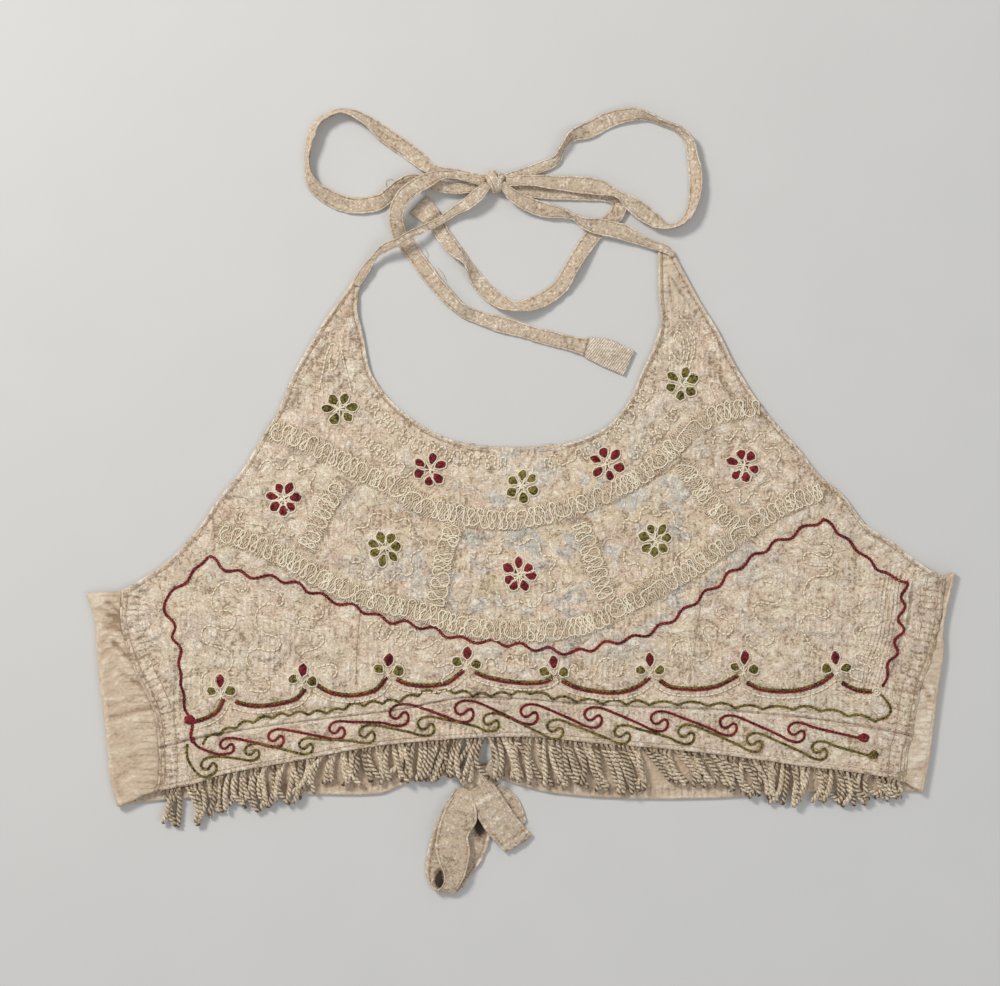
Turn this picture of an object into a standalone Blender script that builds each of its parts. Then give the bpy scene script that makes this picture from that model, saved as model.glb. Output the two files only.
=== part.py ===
"""Halter top in quilted cotton, laid flat with its front up.

Metres, +Z up. +X runs along the hem, +Y runs from the hem towards the neck ties, and z = 0 is the
surface that the top lies on. The tables below are in millimetres.
"""

import bisect
import itertools
import math

import bmesh
import bpy
from mathutils import Vector

MM = 0.001

# Walls and gaps, in millimetres
FRONT_WALL = 1.2
BACK_WALL = 1.0
TIE_WALL = 1.1
GAP = 0.3
SEAM_HALF_GAP = GAP / 2

# How the front lies on the back, in millimetres
LIFT_OVER_BACK = BACK_WALL + GAP + 0.1
SIDE_LIFT = 0.9
SIDE_LIFT_FROM = 150.0
SIDE_LIFT_TO = 186.0
RAMP_FROM = 1.0
RAMP_TO = 15.0
SWELL = 0.7

# Grid rows along the side seams, on the hem band and above it, and the steps across each panel
BAND_ROWS = 2
SEAM_ROWS = 6
ARMHOLE_ROWS = 6
SHOULDER_ROWS = 13
BODICE_COLUMNS = (15, 3, 17)
BAND_COLUMNS = 42
BACK_COLUMNS = (4, 6, 18)
WELD = 0.02

# Ties, in millimetres. TIE_EASE is in steps
TIE_STEP = 3.2
TIE_EASE = 2
TIE_SIDE_ROOM = 0.6
TIE_TOP_ROOM = GAP + 0.1
BACK_TIE_STEP = 4.0
KNOT_SEGMENTS = (16, 10)
KNOT_MIDDLE = 0.42

# Fringe, in millimetres
STRANDS = 128
FRINGE_ENDS = (-184.0, 195.5)
STRIP_GAP = 0.5
STRIP_DEPTH = 1.6
STRIP_WALL = 1.0
STRAND_SHARE = 0.62
STRAND_WIDTH = 2.1
STRAND_THICK = 1.9
STRAND_TAPER = (1.0, 0.7)
STRAND_BEND = 0.45
OVERHANG = 3.0
HEM_ROOM = 0.8
KNOT_SIDE_ROOM = 5.0
KNOT_EASE = (0.9, 1.5)

# Waves along the fringe, in millimetres: size, pace for each strand, start
STRAND_LEAN = ((2.8, 0.13, 0.4), (1.1, 0.29, 2.0))
TIP_WAVE = (1.2, 1.7)

# Outlines: x, y
ARMHOLE_LEFT = (
    (-204.6, -46.7), (-186.0, -35.0), (-176.0, -26.5), (-164.5, -13.0), (-154.5, 1.5),
    (-144.0, 14.0), (-133.5, 31.0),
)
SHOULDER_LEFT = (
    (-133.5, 31.0), (-124.0, 47.5), (-117.0, 64.0), (-104.0, 87.0), (-100.5, 92.5),
    (-91.0, 105.5), (-84.0, 115.5), (-79.2, 121.1),
)
NECK_LEFT = (
    (-16.0, 27.0), (-29.0, 29.0), (-45.0, 35.0), (-60.0, 45.0), (-70.5, 55.5), (-76.5, 64.5),
    (-78.5, 71.0), (-81.5, 87.0), (-84.0, 97.0), (-83.0, 108.0), (-78.5, 116.0), (-75.8, 118.9),
)
NECK_RIGHT = (
    (7.0, 27.0), (25.0, 29.5), (38.5, 34.5), (48.0, 41.0), (56.5, 53.0), (62.0, 66.0),
    (68.0, 78.5), (71.5, 92.0), (70.5, 106.0), (70.2, 127.1),
)
SHOULDER_RIGHT = (
    (142.0, 27.0), (128.0, 42.5), (120.0, 53.0), (109.0, 71.0), (101.0, 87.0), (92.0, 101.5),
    (83.5, 117.0), (77.4, 128.2),
)
ARMHOLE_RIGHT = (
    (217.4, -40.0), (203.5, -31.5), (190.5, -21.5), (177.5, -13.0), (164.5, 3.5),
    (154.0, 12.0), (142.0, 27.0),
)
SEAM_LEFT = (
    (-187.6, -149.2), (-185.6, -143.6), (-185.6, -125.1), (-188.6, -107.2), (-199.0, -84.0),
    (-205.0, -63.0), (-204.6, -46.7),
)
SEAM_RIGHT = (
    (196.9, -144.6), (198.0, -129.2), (200.5, -121.0), (204.6, -97.0), (208.7, -86.0),
    (214.3, -64.5), (217.4, -40.0),
)
FOLD_LEFT = (
    (-206.6, -156.9), (-210.2, -143.6), (-211.7, -128.2), (-213.8, -107.7), (-215.8, -92.3),
    (-217.4, -71.8), (-218.4, -61.0), (-222.5, -47.7),
)
FOLD_RIGHT = (
    (206.1, -149.7), (209.7, -129.7), (212.3, -107.7), (214.3, -92.8), (216.4, -78.0),
    (216.6, -64.6), (222.5, -37.4),
)

# Heights of edges that run from side to side: x, y
BAND_SEAM = (
    (-185.6, -127.1), (-160.0, -121.0), (-121.5, -114.8), (-62.0, -107.5), (-32.8, -101.8),
    (-7.7, -101.5), (26.7, -104.1), (61.0, -106.1), (104.1, -107.7), (166.6, -114.3),
    (200.5, -121.0),
)
FRONT_HEM = (
    (-187.6, -149.2), (-167.1, -145.1), (-152.8, -140.5), (-116.4, -133.8), (-78.0, -126.6),
    (-36.0, -122.5), (0.0, -121.2), (40.0, -124.6), (82.5, -128.2), (117.4, -132.3),
    (143.0, -136.0), (168.2, -138.9), (185.1, -141.5), (196.9, -144.6),
)
BACK_HEM_LEFT = (
    (-206.6, -156.9), (-181.5, -153.8), (-113.0, -151.2), (-73.0, -150.8), (-60.5, -146.0),
    (-49.7, -143.2), (-32.9, -142.0),
)
BACK_HEM_RIGHT = (
    (206.1, -149.7), (168.0, -149.7), (138.0, -150.4), (102.0, -153.0), (54.0, -153.3),
    (18.0, -150.7), (4.0, -147.7), (-10.1, -143.4),
)
BACK_TOP = (
    (-222.5, -47.7), (-180.0, -58.0), (-120.0, -68.0), (-20.0, -75.0), (20.0, -75.0),
    (120.0, -64.0), (180.0, -52.0), (222.5, -37.4),
)
BACK_OPENING_LEFT = ((-32.9, -142.0), (-29.0, -120.0), (-22.0, -75.0))
BACK_OPENING_RIGHT = ((-10.1, -143.4), (-7.0, -120.0), (-2.0, -75.0))
FRINGE_TIPS = (
    (-185.0, -167.0), (-165.0, -165.0), (-155.0, -160.0), (-131.0, -157.0), (-116.0, -155.0),
    (-100.0, -147.5), (-60.0, -143.5), (-20.0, -143.5), (20.0, -146.0), (50.0, -149.0),
    (70.0, -144.5), (110.0, -150.0), (147.0, -156.0), (177.0, -155.0), (199.0, -151.0),
)

# Largest soft folds of the front: x, y of the middle, heading in degrees, length, width, height
FOLDS = (
    (-92.0, 78.0, 72.0, 70.0, 9.0, 1.0),
    (-112.0, 42.0, 58.0, 60.0, 11.0, 0.8),
    (80.0, 92.0, 96.0, 60.0, 8.0, 1.0),
    (100.0, 60.0, 118.0, 60.0, 10.0, 0.8),
    (-60.0, 20.0, 150.0, 70.0, 12.0, 0.7),
    (60.0, 14.0, 25.0, 70.0, 12.0, 0.7),
    (-83.0, -68.0, 88.0, 40.0, 6.0, 0.9),
    (89.0, -66.0, 84.0, 40.0, 6.0, 0.9),
    (-178.0, -80.0, 75.0, 60.0, 8.0, 0.9),
    (196.0, -75.0, 105.0, 60.0, 7.0, 0.9),
    (-30.0, -45.0, 8.0, 90.0, 13.0, 0.8),
    (130.0, -60.0, -20.0, 70.0, 12.0, 0.8),
)

# Neck ties: x, y, flat width, roll in degrees about the strip's own length
STRAP_LEFT = (
    (-77.3, 120.3, 4.6, 30), (-74.3, 125.1, 5.2, 35), (-63.6, 131.3, 6.0, 25), (-55.9, 135.9, 7.0, 15),
    (-41.5, 143.0, 8.0, 0), (-34.4, 147.7, 8.5, 0), (-27.2, 151.8, 8.5, 0), (-18.9, 159.6, 6.0, 0),
)
STRAP_RIGHT = (
    (-6.9, 160.4, 6.0, 0), (-3.8, 155.5, 8.0, 0), (5.1, 150.9, 9.0, 0), (14.9, 148.0, 8.5, 10),
    (21.0, 147.0, 7.5, 30), (27.2, 145.1, 7.0, 55), (33.3, 141.5, 8.0, 20), (40.5, 140.0, 9.0, 0),
    (52.3, 137.4, 9.0, 10), (60.0, 134.3, 7.0, 30), (68.2, 131.9, 5.0, 25), (72.0, 131.0, 5.0, 20),
    (77.0, 131.2, 5.0, 10),
)
LOOP_LEFT = (
    (-18.9, 164.6, 6.0, 0), (-30.8, 167.1, 6.5, 0), (-41.5, 168.4, 7.0, 0), (-47.0, 170.2, 8.0, 20),
    (-54.3, 176.4, 9.0, 0), (-70.2, 187.6, 9.0, 5), (-79.0, 194.3, 9.0, 35), (-90.2, 199.2, 9.0, 65),
    (-97.4, 197.7, 9.0, 50), (-103.6, 193.8, 9.0, 45), (-107.7, 185.6, 9.0, 60), (-109.2, 177.9, 9.0, 65),
    (-109.2, 169.2, 9.0, 65), (-106.1, 161.0, 9.0, 45), (-97.4, 154.8, 9.0, 10), (-88.2, 151.4, 9.0, 0),
    (-79.0, 151.4, 9.0, 0), (-71.8, 153.3, 9.0, 15), (-64.6, 158.9, 8.5, 35), (-57.5, 163.6, 8.0, 20),
    (-50.2, 163.0, 7.5, 0), (-41.0, 160.6, 7.0, 0), (-30.8, 159.6, 6.5, 0), (-18.9, 160.8, 5.5, 0),
)
LOOP_RIGHT = (
    (-7.7, 165.0, 5.0, 0), (1.5, 167.7, 5.5, 0), (11.3, 171.2, 8.0, 0), (17.9, 174.3, 8.5, 15),
    (21.5, 181.5, 9.0, 65), (27.2, 187.1, 9.0, 40), (34.9, 189.8, 9.0, 0), (44.6, 194.8, 9.0, 5),
    (55.4, 197.6, 9.0, 30), (64.1, 197.0, 9.0, 50), (72.8, 193.3, 9.0, 65), (80.5, 190.2, 9.0, 50),
    (86.1, 184.6, 9.0, 45), (88.2, 175.9, 9.0, 45), (89.7, 166.1, 9.0, 45), (89.2, 156.4, 9.0, 50),
    (86.6, 147.1, 9.0, 55), (82.0, 141.8, 9.0, 65), (75.9, 139.9, 9.0, 60), (69.7, 142.3, 9.0, 20),
    (62.5, 147.4, 9.0, 0), (55.4, 152.3, 8.0, 10), (49.2, 156.4, 5.5, 10), (40.5, 159.9, 9.0, 0),
    (28.7, 161.6, 9.0, 0), (17.9, 162.5, 8.0, 0), (5.1, 163.6, 6.5, 0), (-7.7, 163.2, 5.5, 0),
)
TAIL_LEFT = (
    (-7.7, 161.2, 6.0, 0), (5.0, 158.6, 7.5, 0), (20.0, 157.6, 8.5, 0), (35.0, 157.4, 9.0, 0),
    (45.5, 156.6, 9.0, 5), (50.6, 152.6, 8.0, 10), (49.6, 147.4, 9.0, 5), (45.1, 143.0, 9.0, 0),
    (37.9, 136.6, 9.0, 0), (31.8, 128.4, 9.0, 10), (25.6, 118.2, 9.0, 20), (20.5, 109.6, 9.0, 10),
    (12.3, 103.4, 9.0, 10), (3.6, 99.8, 9.0, 30), (-3.6, 99.0, 9.0, 55), (-10.8, 101.9, 9.0, 20),
    (-17.4, 107.0, 9.0, 0), (-23.1, 113.8, 9.0, 10), (-27.4, 121.0, 9.0, 60), (-34.4, 128.7, 9.0, 20),
    (-40.5, 136.9, 9.0, 0), (-45.1, 144.2, 9.6, 0), (-52.6, 151.6, 10.0, 0),
)
TAIL_RIGHT = (
    (-18.9, 162.4, 5.5, 0), (-26.0, 164.4, 6.0, 0), (-34.4, 166.3, 6.0, 0), (-41.5, 165.9, 7.0, 0),
    (-47.2, 163.4, 9.0, 0), (-54.6, 159.4, 9.0, 0), (-60.4, 154.4, 9.0, 0), (-63.2, 148.2, 9.0, 10),
    (-63.6, 141.5, 9.0, 10), (-61.5, 135.3, 9.0, 10), (-57.9, 130.2, 9.0, 0), (-51.8, 121.7, 9.0, 0),
    (-45.1, 112.8, 9.0, 10), (-36.9, 103.6, 9.0, 20), (-29.7, 97.2, 9.0, 20), (-23.1, 94.2, 9.0, 0),
    (-12.3, 90.7, 9.0, 0), (-1.5, 87.8, 9.0, 0), (8.7, 84.6, 8.5, 0), (20.5, 81.6, 8.5, 0),
    (30.8, 78.4, 9.6, 0), (41.0, 75.0, 10.2, 0), (53.6, 69.4, 10.2, 0),
)
NECK_KNOT = (-13.3, 163.0, 5.0, 6.5, 7.0)

# Back tie at the middle of the back hem: x, y, height of the strip's middle, width
BACK_KNOT = (-21.5, -141.0, 11.0, 8.0, 3.2)
BACK_LOOP = (
    (-31.6, -149.6, 2.3, 7.0), (-31.8, -156.0, 3.6, 12.0), (-32.6, -166.0, 5.0, 17.5),
    (-36.4, -178.0, 5.4, 20.0), (-38.0, -188.0, 5.0, 19.0), (-38.8, -195.5, 4.4, 14.0),
    (-38.0, -200.0, 3.3, 10.0), (-37.2, -200.5, 2.0, 10.0), (-35.6, -197.4, 0.9, 13.0),
    (-31.5, -188.0, 0.6, 19.0), (-26.6, -178.0, 0.6, 18.5), (-25.6, -166.0, 0.6, 17.0),
    (-27.0, -157.0, 0.6, 12.0), (-26.6, -150.1, 0.6, 8.0),
)
BACK_LOOP_ACROSS = -12.0
BACK_TAIL = (
    (-18.4, -150.6, 2.3, 13.0), (-15.6, -154.5, 2.2, 15.0), (-9.8, -163.0, 2.2, 15.0),
    (-5.2, -170.0, 2.1, 15.0), (-1.0, -176.4, 1.9, 15.4),
)
BACK_TAIL_ACROSS = 34.0
BACK_TAIL_UNDER = (
    (-12.0, -149.0, 0.56, 9.0), (-9.0, -155.0, 0.56, 13.0), (-3.4, -166.0, 0.56, 13.0),
    (-0.4, -171.0, 0.56, 13.0),
)
BACK_TAIL_UNDER_ACROSS = 28.0

# Colour, roughness
COTTON = ("quilted_cotton", (0.56, 0.45, 0.32), 0.92)
TWILL = ("plain_twill", (0.53, 0.42, 0.31), 0.9)
TIE_CLOTH = ("tie_cloth", (0.55, 0.45, 0.33), 0.92)
FRINGE_YARN = ("fringe_yarn", (0.42, 0.34, 0.25), 0.85)


def clear_scene():
    for obj in list(bpy.data.objects):
        bpy.data.objects.remove(obj)


def smooth_curve(stations, rows):
    """A function from a station to the smooth curve through the rows, which passes through each one."""

    def slope(i):
        low, high = max(i - 1, 0), min(i + 1, len(rows) - 1)
        step = stations[high] - stations[low]
        return [(b - a) / step for a, b in zip(rows[low], rows[high])]

    def at(station):
        i = min(max(bisect.bisect_right(stations, station) - 1, 0), len(rows) - 2)
        span = stations[i + 1] - stations[i]
        t = min(max((station - stations[i]) / span, 0.0), 1.0)
        start, end = slope(i), slope(i + 1)
        return [
            (2 * t**3 - 3 * t**2 + 1) * a
            + (t**3 - 2 * t**2 + t) * span * m
            + (3 * t**2 - 2 * t**3) * b
            + (t**3 - t**2) * span * n
            for a, b, m, n in zip(rows[i], rows[i + 1], start, end)
        ]

    return at


def path(rows):
    """The smooth curve through the rows by share of its length, 0 to 1, and that length."""
    spans = [math.dist(a[:2], b[:2]) for a, b in zip(rows, rows[1:])]
    stations = list(itertools.accumulate(spans, initial=0.0))
    curve = smooth_curve(stations, rows)
    return lambda share: curve(share * stations[-1]), stations[-1]


def route(rows):
    return path(rows)[0]


def profile(rows):
    """y as a smooth function of x."""
    rows = sorted(rows)
    curve = smooth_curve([row[0] for row in rows], rows)
    return lambda x: curve(x)[1]


def joined(*pieces):
    """Routes end to end, each with the number of grid steps that it takes."""
    total = sum(steps for _, steps in pieces)

    def at(share):
        step = share * total
        for curve, steps in pieces:
            if step <= steps + 1e-6:
                return curve(min(step / steps, 1.0))
            step -= steps
        return curve(1.0)

    return at


def line(a, b):
    return lambda share: [p + (q - p) * share for p, q in zip(a, b)]


def patch(bottom, top, left, right):
    """The surface between four routes that meet at their ends."""

    def at(u, v):
        corners = zip(bottom(0.0), bottom(1.0), top(0.0), top(1.0))
        edges = zip(bottom(u), top(u), left(v), right(v))
        return [
            (1 - v) * b + v * t + (1 - u) * l + u * r
            - (1 - u) * (1 - v) * b0 - u * (1 - v) * b1 - (1 - u) * v * t0 - u * v * t1
            for (b, t, l, r), (b0, b1, t0, t1) in zip(edges, corners)
        ]

    return at


def ease(x, start, end):
    """0 before start, 1 after end, and smooth between them."""
    t = min(max((x - start) / (end - start), 0.0), 1.0)
    return t * t * (3 - 2 * t)


BACK_TOP_AT = profile(BACK_TOP)
FRONT_HEM_AT = profile(FRONT_HEM)


def fold_height(x, y):
    """Height that the largest soft folds add at a point."""
    height = 0.0
    for fold_x, fold_y, heading, length, width, rise in FOLDS:
        along = Vector((math.cos(math.radians(heading)), math.sin(math.radians(heading))))
        away = Vector((x - fold_x, y - fold_y))
        reach, side = away.dot(along) / (length / 2), away.cross(along) / (width / 2)
        height += rise * math.exp(-(reach**4)) * math.exp(-(side**2))
    return height


def front_under(x, y):
    """Height of the front's underside: on the surface above the back's top edge, and on the back below it."""
    over_back = 1 - ease(y - BACK_TOP_AT(x), RAMP_FROM, RAMP_TO)
    side = SIDE_LIFT * ease(abs(x), SIDE_LIFT_FROM, SIDE_LIFT_TO)
    swell = SWELL * (1 + math.sin(x / 21) * math.sin(y / 15 + x / 47)) / 2
    return over_back * (LIFT_OVER_BACK + side + swell) + fold_height(x, y)


def material(name, colour, roughness):
    made = bpy.data.materials.get(name) or bpy.data.materials.new(name)
    made.use_nodes = True
    shader = made.node_tree.nodes["Principled BSDF"]
    shader.inputs["Base Color"].default_value = (*colour, 1.0)
    shader.inputs["Roughness"].default_value = roughness
    shader.inputs["Metallic"].default_value = 0.0
    return made


def add_object(name, bm, finish, wall=None, wall_offset=0.0):
    mesh = bpy.data.meshes.new(name)
    bm.to_mesh(mesh)
    bm.free()
    mesh.shade_smooth()
    mesh.set_sharp_from_angle(angle=math.radians(50))
    mesh.materials.append(material(*finish))
    obj = bpy.data.objects.new(name, mesh)
    garment.objects.link(obj)
    if wall:
        solid = obj.modifiers.new("wall", "SOLIDIFY")
        solid.thickness = wall * MM
        solid.offset = wall_offset
    return obj


def add_sheet(bm, columns, rows, place):
    """A grid of columns by rows, each point put where place(u, v) says, in millimetres."""
    made = bmesh.ops.create_grid(bm, x_segments=columns, y_segments=rows, size=0.5)
    for vert in made["verts"]:
        u, v = vert.co.x + 0.5, vert.co.y + 0.5
        vert.co = Vector(place(u, v)) * MM


def on_front(flat_place):
    """Turns a flat patch into the front's underside."""

    def at(u, v):
        x, y = flat_place(u, v)
        return x, y, front_under(x, y)

    return at


def seam_route(seam, low_y, high_y, shift=0.0):
    """A side seam from one height up to another, moved sideways by the shift."""
    x_at = profile([(y, x) for x, y in seam])

    def at(share):
        y = low_y + (high_y - low_y) * share
        return [x_at(y) + shift, y]

    return at


def edge_route(height_at, start_x, end_x, shift=0.0):
    """An edge that runs from side to side, moved up by the shift."""

    def at(share):
        x = start_x + (end_x - start_x) * share
        return [x, height_at(x) + shift]

    return at


def seam_ends(rows):
    """The x of each end of a front panel's edge, clear of the side seams."""
    return rows[0][0] + SEAM_HALF_GAP, rows[-1][0] - SEAM_HALF_GAP


def build_front_bodice():
    columns_left, columns_neck, columns_right = BODICE_COLUMNS
    middle = joined(
        (line(SHOULDER_LEFT[0], NECK_LEFT[0]), columns_left),
        (line(NECK_LEFT[0], NECK_RIGHT[0]), columns_neck),
        (line(NECK_RIGHT[0], SHOULDER_RIGHT[0]), columns_right),
    )
    bottom = edge_route(profile(BAND_SEAM), *seam_ends(BAND_SEAM), SEAM_HALF_GAP)
    seam_left = seam_route(SEAM_LEFT, bottom(0.0)[1], SEAM_LEFT[-1][1], SEAM_HALF_GAP)
    seam_right = seam_route(SEAM_RIGHT, bottom(1.0)[1], SEAM_RIGHT[-1][1], -SEAM_HALF_GAP)
    body = patch(
        bottom,
        middle,
        joined((seam_left, SEAM_ROWS), (route(ARMHOLE_LEFT), ARMHOLE_ROWS)),
        joined((seam_right, SEAM_ROWS), (route(ARMHOLE_RIGHT), ARMHOLE_ROWS)),
    )
    bm = bmesh.new()
    add_sheet(bm, sum(BODICE_COLUMNS), SEAM_ROWS + ARMHOLE_ROWS, on_front(body))
    for columns, left, right in (
        (columns_left, SHOULDER_LEFT, NECK_LEFT),
        (columns_right, NECK_RIGHT, SHOULDER_RIGHT),
    ):
        low, high = line(left[0], right[0]), line(left[-1], right[-1])
        add_sheet(bm, columns, SHOULDER_ROWS, on_front(patch(low, high, route(left), route(right))))
    bmesh.ops.remove_doubles(bm, verts=bm.verts, dist=WELD * MM)
    return add_object("front_bodice", bm, COTTON, FRONT_WALL, 1.0)


def build_front_hem_band():
    hem = edge_route(FRONT_HEM_AT, *seam_ends(FRONT_HEM))
    top = edge_route(profile(BAND_SEAM), *seam_ends(BAND_SEAM), -SEAM_HALF_GAP)
    left = seam_route(SEAM_LEFT, hem(0.0)[1], top(0.0)[1], SEAM_HALF_GAP)
    right = seam_route(SEAM_RIGHT, hem(1.0)[1], top(1.0)[1], -SEAM_HALF_GAP)
    bm = bmesh.new()
    add_sheet(bm, BAND_COLUMNS, BAND_ROWS, on_front(patch(hem, top, left, right)))
    return add_object("front_hem_band", bm, COTTON, FRONT_WALL, 1.0)


def build_back(name, seam, fold, hem, opening, outward):
    """A back panel: from its seam on the front, round the fold at the side, to the opening at the middle."""
    front_columns, fold_columns, back_columns = BACK_COLUMNS
    columns = sum(BACK_COLUMNS)
    band_y = profile(BAND_SEAM)(seam[0][0])
    seam_at = joined(
        (seam_route(seam, seam[0][1], band_y), BAND_ROWS),
        (seam_route(seam, band_y, seam[-1][1]), SEAM_ROWS),
    )
    fold_at = route(fold)
    under = BACK_WALL / 2
    flat = patch(
        edge_route(profile(hem), fold[0][0], opening[0][0]),
        edge_route(BACK_TOP_AT, fold[-1][0], opening[-1][0]),
        fold_at,
        route(opening),
    )

    def place(u, v):
        step = u * columns
        fold_x, fold_y = fold_at(v)
        over = front_under(fold_x, fold_y) + under
        radius = (over - under) / 2
        if step <= front_columns:
            share = step / front_columns
            seam_x, seam_y = seam_at(v)
            x = seam_x + outward * SEAM_HALF_GAP
            x += (fold_x - outward * radius - x) * share
            y = seam_y + (fold_y - seam_y) * share
            return x, y, front_under(x, y) * (1 - share) + (over - under) * share + under
        if step <= front_columns + fold_columns:
            turn = math.pi * (step - front_columns) / fold_columns
            x = fold_x + outward * radius * (math.sin(turn) - 1)
            return x, fold_y, under + radius * (1 + math.cos(turn))
        share = (step - front_columns - fold_columns) / back_columns
        x, y = flat(share, v)
        return x - outward * radius * (1 - share), y, under

    bm = bmesh.new()
    add_sheet(bm, columns, BAND_ROWS + SEAM_ROWS, place)
    return add_object(name, bm, TWILL, BACK_WALL)


def strand_path(x, y, index):
    """Root, middle and tip of a strand's centre line, laid over the back panel and the back knot."""
    lean = sum(size * math.sin(pace * index + start) for size, pace, start in STRAND_LEAN)
    uneven, pace = TIP_WAVE
    tip_y = profile(FRINGE_TIPS)(x) - uneven * math.sin(pace * index)
    edge_y = back_hem_at(x) - HEM_ROOM
    past_edge = tip_y < edge_y - OVERHANG
    bend = (edge_y - y) / (tip_y - y) if past_edge else STRAND_BEND
    knot_x, knot_y, half_x, half_y, high = BACK_KNOT
    points = []
    for share in (bend, 1.0):
        point_x, point_y = x + lean * share, y + (tip_y - y) * share
        on_back = 0 if past_edge and share == 1.0 else 1
        away_x = (point_x - knot_x) / (half_x + KNOT_SIDE_ROOM)
        away_y = (point_y - knot_y) / (half_y + KNOT_SIDE_ROOM)
        over_knot = 1 - ease(math.hypot(away_x, away_y), *KNOT_EASE)
        low = max(GAP + 0.1, on_back * (BACK_WALL + GAP), over_knot * (high + GAP + 0.2))
        points.append(Vector((point_x, point_y, low + STRAND_THICK / 2)))
    return points


def back_hem_at(x):
    rows = BACK_HEM_LEFT if x < BACK_KNOT[0] else BACK_HEM_RIGHT
    return profile(rows)(x)


def from_left(faces):
    return sorted(faces, key=lambda face: face.calc_center_median().x)


def build_fringe():
    """A narrow strip below the front's hem: every second face of its lower side is drawn out to a strand."""
    bm = bmesh.new()
    bmesh.ops.create_cube(bm, size=1.0)
    lengthwise = [edge for edge in bm.edges if abs(edge.verts[0].co.x - edge.verts[1].co.x) > 0.5]
    bmesh.ops.subdivide_edges(bm, edges=lengthwise, cuts=2 * STRANDS - 2, use_grid_fill=True)
    start, end = FRINGE_ENDS
    pitch = (end - start) / (STRANDS - 1 + STRAND_SHARE)
    for vert in bm.verts:
        step = round((vert.co.x + 0.5) * (2 * STRANDS - 1))
        x = start + pitch * (step // 2 + STRAND_SHARE * (step % 2))
        y = FRONT_HEM_AT(x) - STRIP_GAP - STRIP_DEPTH * (0.5 - vert.co.y)
        vert.co = Vector((x, y, BACK_WALL + GAP + 0.2 + STRIP_WALL * (vert.co.z + 0.5)))
    bm.normal_update()
    lower = [face for face in bm.faces if face.normal.y < -0.7]
    strands = from_left(lower)[::2]
    roots = [face.calc_center_median() for face in strands]
    paths = [strand_path(root.x, root.y, index) for index, root in enumerate(roots)]
    for stage, size in enumerate(STRAND_TAPER):
        strands = from_left(bmesh.ops.extrude_discrete_faces(bm, faces=strands)["faces"])
        for index, face in enumerate(strands):
            middle, centre = face.calc_center_median(), paths[index][stage]
            for vert in face.verts:
                side = math.copysign(0.5, vert.co.x - middle.x)
                up = math.copysign(0.5, vert.co.z - middle.z)
                vert.co = centre + Vector((side * STRAND_WIDTH, 0, up * STRAND_THICK)) * size
    for vert in bm.verts:
        vert.co *= MM
    return add_object("hem_fringe", bm, FRINGE_YARN)


def build_knot(name, finish, x, y, half_x, half_y, high):
    """A rounded knot with a flat underside."""
    bm = bmesh.new()
    around, upward = KNOT_SEGMENTS
    bmesh.ops.create_uvsphere(bm, u_segments=around, v_segments=upward, radius=1.0)
    for vert in bm.verts:
        z = max(high * (KNOT_MIDDLE + (1 - KNOT_MIDDLE) * vert.co.z), 0.0)
        vert.co = Vector((x + half_x * vert.co.x, y + half_y * vert.co.y, z)) * MM
    return add_object(name, bm, finish)


class Tie:
    """A neck tie's stretch: its samples, each with the room that it takes and the height that it lies at."""

    def __init__(self, rows):
        along, length = path(rows)
        count = round(length / TIE_STEP)
        self.points = [along(i / count) for i in range(count + 1)]
        self.heights = [0.0] * len(self.points)

    def half_seen(self, i):
        _, _, width, roll = self.points[i]
        return width / 2 * math.cos(math.radians(roll)) + TIE_WALL / 2

    def half_high(self, i):
        _, _, width, roll = self.points[i]
        return width / 2 * abs(math.sin(math.radians(roll))) + TIE_WALL / 2

    def discs(self, first, last):
        """x, y, radius and top of the samples from first to last."""
        return [
            (
                *self.points[i][:2],
                self.half_seen(i) + TIE_SIDE_ROOM,
                self.heights[i] + 2 * self.half_high(i),
            )
            for i in range(first, last)
        ]

    def lay(self, pile):
        """Sets each sample's underside just above what already lies there, eased in and out."""
        count = len(self.points)
        third = count // 3
        for own_from, own in ((count, []), (2 * third, range(third))):
            crossed = [*pile, *(self.discs(0, third) if own else [])]
            need = []
            for i, point in enumerate(self.points):
                under = crossed if i >= own_from else pile
                reach = self.half_seen(i)
                tops = [top for x, y, r, top in under if math.dist(point[:2], (x, y)) < r + reach]
                need.append(max(tops) + TIE_TOP_ROOM if tops else 0.0)
            peaks = [max(need[max(0, i - TIE_EASE) : i + TIE_EASE + 1]) for i in range(count)]
            for i in range(count):
                near = peaks[max(0, i - TIE_EASE) : i + TIE_EASE + 1]
                self.heights[i] = sum(near) / len(near)
        pile.extend(self.discs(0, count))

    def place(self, u, v):
        i = round(u * (len(self.points) - 1))
        x, y, width, roll = self.points[i]
        before, after = self.points[max(i - 1, 0)], self.points[min(i + 1, len(self.points) - 1)]
        heading = Vector((after[0] - before[0], after[1] - before[1])).normalized()
        reach = width * (v - 0.5)
        flat, up = reach * math.cos(math.radians(roll)), reach * math.sin(math.radians(roll))
        return x - heading.y * flat, y + heading.x * flat, self.heights[i] + self.half_high(i) + up

    def build(self, name):
        bm = bmesh.new()
        add_sheet(bm, len(self.points) - 1, 1, self.place)
        return add_object(name, bm, TIE_CLOTH, TIE_WALL)


def build_back_tie(name, rows, across_heading):
    along, length = path(rows)
    across = Vector((math.cos(math.radians(across_heading)), math.sin(math.radians(across_heading)), 0))

    def place(u, v):
        x, y, height, width = along(u)
        return Vector((x, y, height)) + across * width * (v - 0.5)

    bm = bmesh.new()
    add_sheet(bm, round(length / BACK_TIE_STEP), 2, place)
    return add_object(name, bm, TIE_CLOTH, TIE_WALL)


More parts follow.
